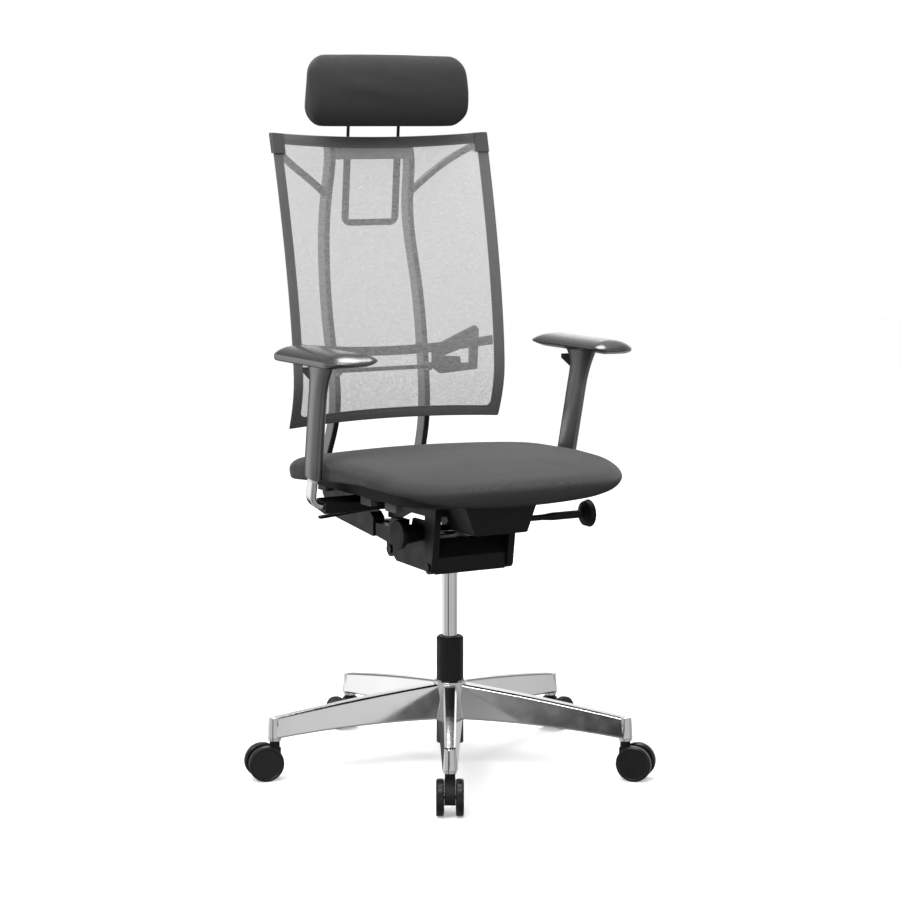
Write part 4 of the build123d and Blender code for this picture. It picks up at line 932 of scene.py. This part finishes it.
make_back_band()
make_back_mesh()


# ------------------------------------------------------------------ armrests
pad_half_width = 47.5 * MM
pad_half_length = 131 * MM
pad_middle = (270 * MM, -24 * MM)
pad_crown_z = 789 * MM
# the flat middle of the underside, at its inner and its outer side
pad_base_z = (764 * MM, 761.5 * MM)
# the edge of the pad: its crest, and its foot under the outer wall and under the rolled side;
# both lie higher on the inner side
pad_crest_z = 773.0 * MM
pad_crest_rise = 3.5 * MM
wall_foot_z = 764.5 * MM
roll_foot_z = 770.5 * MM
roll_foot_rise = 4.5 * MM
pad_least_edge = 0.8 * MM
# how far in the top, the rolled underside and the wall's underside level off
top_run = 43 * MM
bottom_run = 38 * MM
wall_run = 10 * MM
top_fullness = 0.72
# how far outward and rearward the edge faces where the wall starts and where it is whole
wall_outward = (0.25, 0.95)
wall_rearward = (-0.8, -0.1)
# each corner: radius in millimetres, the way it lies on X and Y, and the angle of its start
pad_corners = ((50, 1, -1, -90), (36, 1, 1, 0), (44, -1, 1, 90), (26, -1, -1, 180))
pad_least_radius = 0.6 * MM
pad_corner_steps = 12
pad_side_steps = 10
pad_top_insets = (0.0, 0.5, 1.5, 3.0, 5.5, 9.0, 13.0, 18.0, 23.0, 29.0, 35.0, 40.0, 44.0)
pad_bottom_insets = (44.0, 34.0, 26.0, 19.0, 13.0, 8.0, 4.0, 1.5, 0.4)


def pad_ring(inset):
    """Plan of an armrest pad at one inset, with its outward directions. +X is outer."""
    arcs = []
    for full_radius, x_way, y_way, start in pad_corners:
        radius = max(full_radius * MM - inset, pad_least_radius)
        x = x_way * (pad_half_width - inset - radius)
        y = y_way * (pad_half_length - inset - radius)
        arc = []
        for step in range(pad_corner_steps + 1):
            angle = math.radians(start + 90 * step / pad_corner_steps)
            way = (math.cos(angle), math.sin(angle))
            arc.append((x + radius * way[0], y + radius * way[1], way))
        arcs.append(arc)
    points = []
    for arc, following in zip(arcs, arcs[1:] + arcs[:1]):
        points += arc
        *start, way = arc[-1]
        *end, _ = following[0]
        for step in range(1, pad_side_steps):
            points.append((*between(start, end, step / pad_side_steps), way))
    return points


def wall_share(way):
    """1 where the pad has its side wall, on the outer side and rear, and 0 elsewhere."""
    return smoothstep(way[0], *wall_outward) * smoothstep(way[1], *wall_rearward)


def pad_edge(way):
    """Heights of the crest and foot of the pad's edge for an outward direction."""
    outer = wall_share(way)
    inner = smoothstep(-way[0], 0.0, 1.0)
    crest = pad_crest_z + pad_crest_rise * inner
    foot = wall_foot_z * outer + (roll_foot_z + roll_foot_rise * inner) * (1 - outer)
    return crest, min(foot, crest - pad_least_edge)


def pad_underside(x, inset, way):
    """Height of the pad's underside, which falls from the foot of the edge to the base."""
    foot = pad_edge(way)[1]
    run = bottom_run + (wall_run - bottom_run) * wall_share(way)
    inner_base, outer_base = pad_base_z
    base = inner_base + (outer_base - inner_base) * smoothstep(x, -pad_half_width, pad_half_width)
    return foot - (foot - min(base, foot)) * rolled(inset / run)


def pad_top(x, inset, way):
    """Height of the pad's top, which rises from the crest of the edge to the crown."""
    crest = pad_edge(way)[0]
    return crest + (pad_crown_z - crest) * rolled(inset / top_run) ** top_fullness


def make_arm_pad(side_name, side):
    """A moulded pad: rolled over at the front and inner side, walled on the outer side."""
    rings = []
    for height_at, insets in ((pad_underside, pad_bottom_insets), (pad_top, pad_top_insets)):
        for inset in insets:
            ring = []
            for x, y, way in pad_ring(inset * MM):
                z = height_at(x, inset * MM, way)
                ring.append(Vector((side * (pad_middle[0] + x), pad_middle[1] + y, z)))
            rings.append(ring)
    pad = loft(f"{side_name}_armrest_pad", rings, "grey_paint", f"{side_name}_armrest")
    # the pads take the darker copy of the grey paint, which is painted shade
    pad.data.materials[0] = finishes["pad_paint_with_painted_shade"]
    refine(pad)
    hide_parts(f"{side_name}_arm_pad")


# the left leg's foot, how far it leans out and forward, and its half sizes and length
leg_foot = (268 * MM, 27 * MM, 555 * MM)
leg_lean = (math.radians(2), math.radians(12))
leg_half = (8.1 * MM, 19.1 * MM)
leg_room = 151 * MM
sleeve_half = (13 * MM, 25.5 * MM)
sleeve_levels = (0.02, 0.2, 0.4, 0.6, 0.8, 1.0)
sleeve_mouth = 0.94
flare_start = 143 * MM
flare_power = 3.2
flare_steps = 14
neck_place = (273 * MM, -16 * MM)
neck_half = (17 * MM, 48 * MM)
neck_top_z = 765.5 * MM
oval_steps = 48
# the slot for the button, in millimetres: half width, and front and rear, foot and top
slot_half = 9.6
slot_y = (5.4, 90.0)
slot_z = (729.7, 755.3)
slot_sharp = math.radians(35)


def oval(centre, across, along, half):
    """An upright piece's section: half holds its half sizes across and along."""
    ring = []
    for step in range(oval_steps):
        angle = 2 * math.pi * step / oval_steps
        ring.append(centre + across * (half[0] * math.cos(angle)) + along * (half[1] * math.sin(angle)))
    return ring


def cut_button_slot(sleeve, side):
    form = bmesh.new()
    for z in slot_z:
        for y in slot_y:
            for x in (-slot_half, slot_half):
                form.verts.new((side * neck_place[0] + x * MM, y * MM, z * MM))
    bmesh.ops.convex_hull(form, input=form.verts)
    cutter = add_object("slot", mesh_from(form, "slot"))
    add_modifier(sleeve, "slot", "BOOLEAN", object=cutter, operation="DIFFERENCE", solver="EXACT")
    bake_modifiers(sleeve)
    bpy.data.objects.remove(cutter)
    sleeve.data.set_sharp_from_angle(angle=slot_sharp)


def make_sleeve(side_name, side):
    """The oval sleeve that slides on the leg and flares smoothly into the pad."""
    out, forward = leg_lean
    up = Vector((side * math.sin(out), -math.sin(forward), math.cos(forward))).normalized()
    foot = Vector((side * leg_foot[0], leg_foot[1], leg_foot[2]))
    across = (Vector((1, 0, 0)) - up * up.x).normalized()
    along = up.cross(across)

    # the leg's room from its top down, the sleeve from its mouth up, then the flare
    rings = [oval(foot + up * leg_room, across, along, leg_half), oval(foot, across, along, leg_half)]
    rings.append(oval(foot, across, along, [size * sleeve_mouth for size in sleeve_half]))
    for level in sleeve_levels:
        rings.append(oval(foot + up * (flare_start * level), across, along, sleeve_half))
    start = foot + up * flare_start
    end = Vector((side * neck_place[0], neck_place[1], neck_top_z))
    for step in range(1, flare_steps + 1):
        share = step / flare_steps
        straight = start + up * ((end.z - start.z) * share / up.z)
        centre = straight.lerp(Vector((end.x, end.y, straight.z)), share**2)
        depth_way = along.lerp(Vector((0, 1, 0)), share**2).normalized()
        rings.append(oval(centre, across, depth_way, between(sleeve_half, neck_half, share**flare_power)))

    sleeve = loft(f"{side_name}_sleeve_cover", rings, "grey_paint", f"{side_name}_armrest")
    cut_button_slot(sleeve, side)
    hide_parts(f"{side_name}_arm_sleeve")


for side_name, side in sides:
    make_arm_pad(side_name, side)
    make_sleeve(side_name, side)
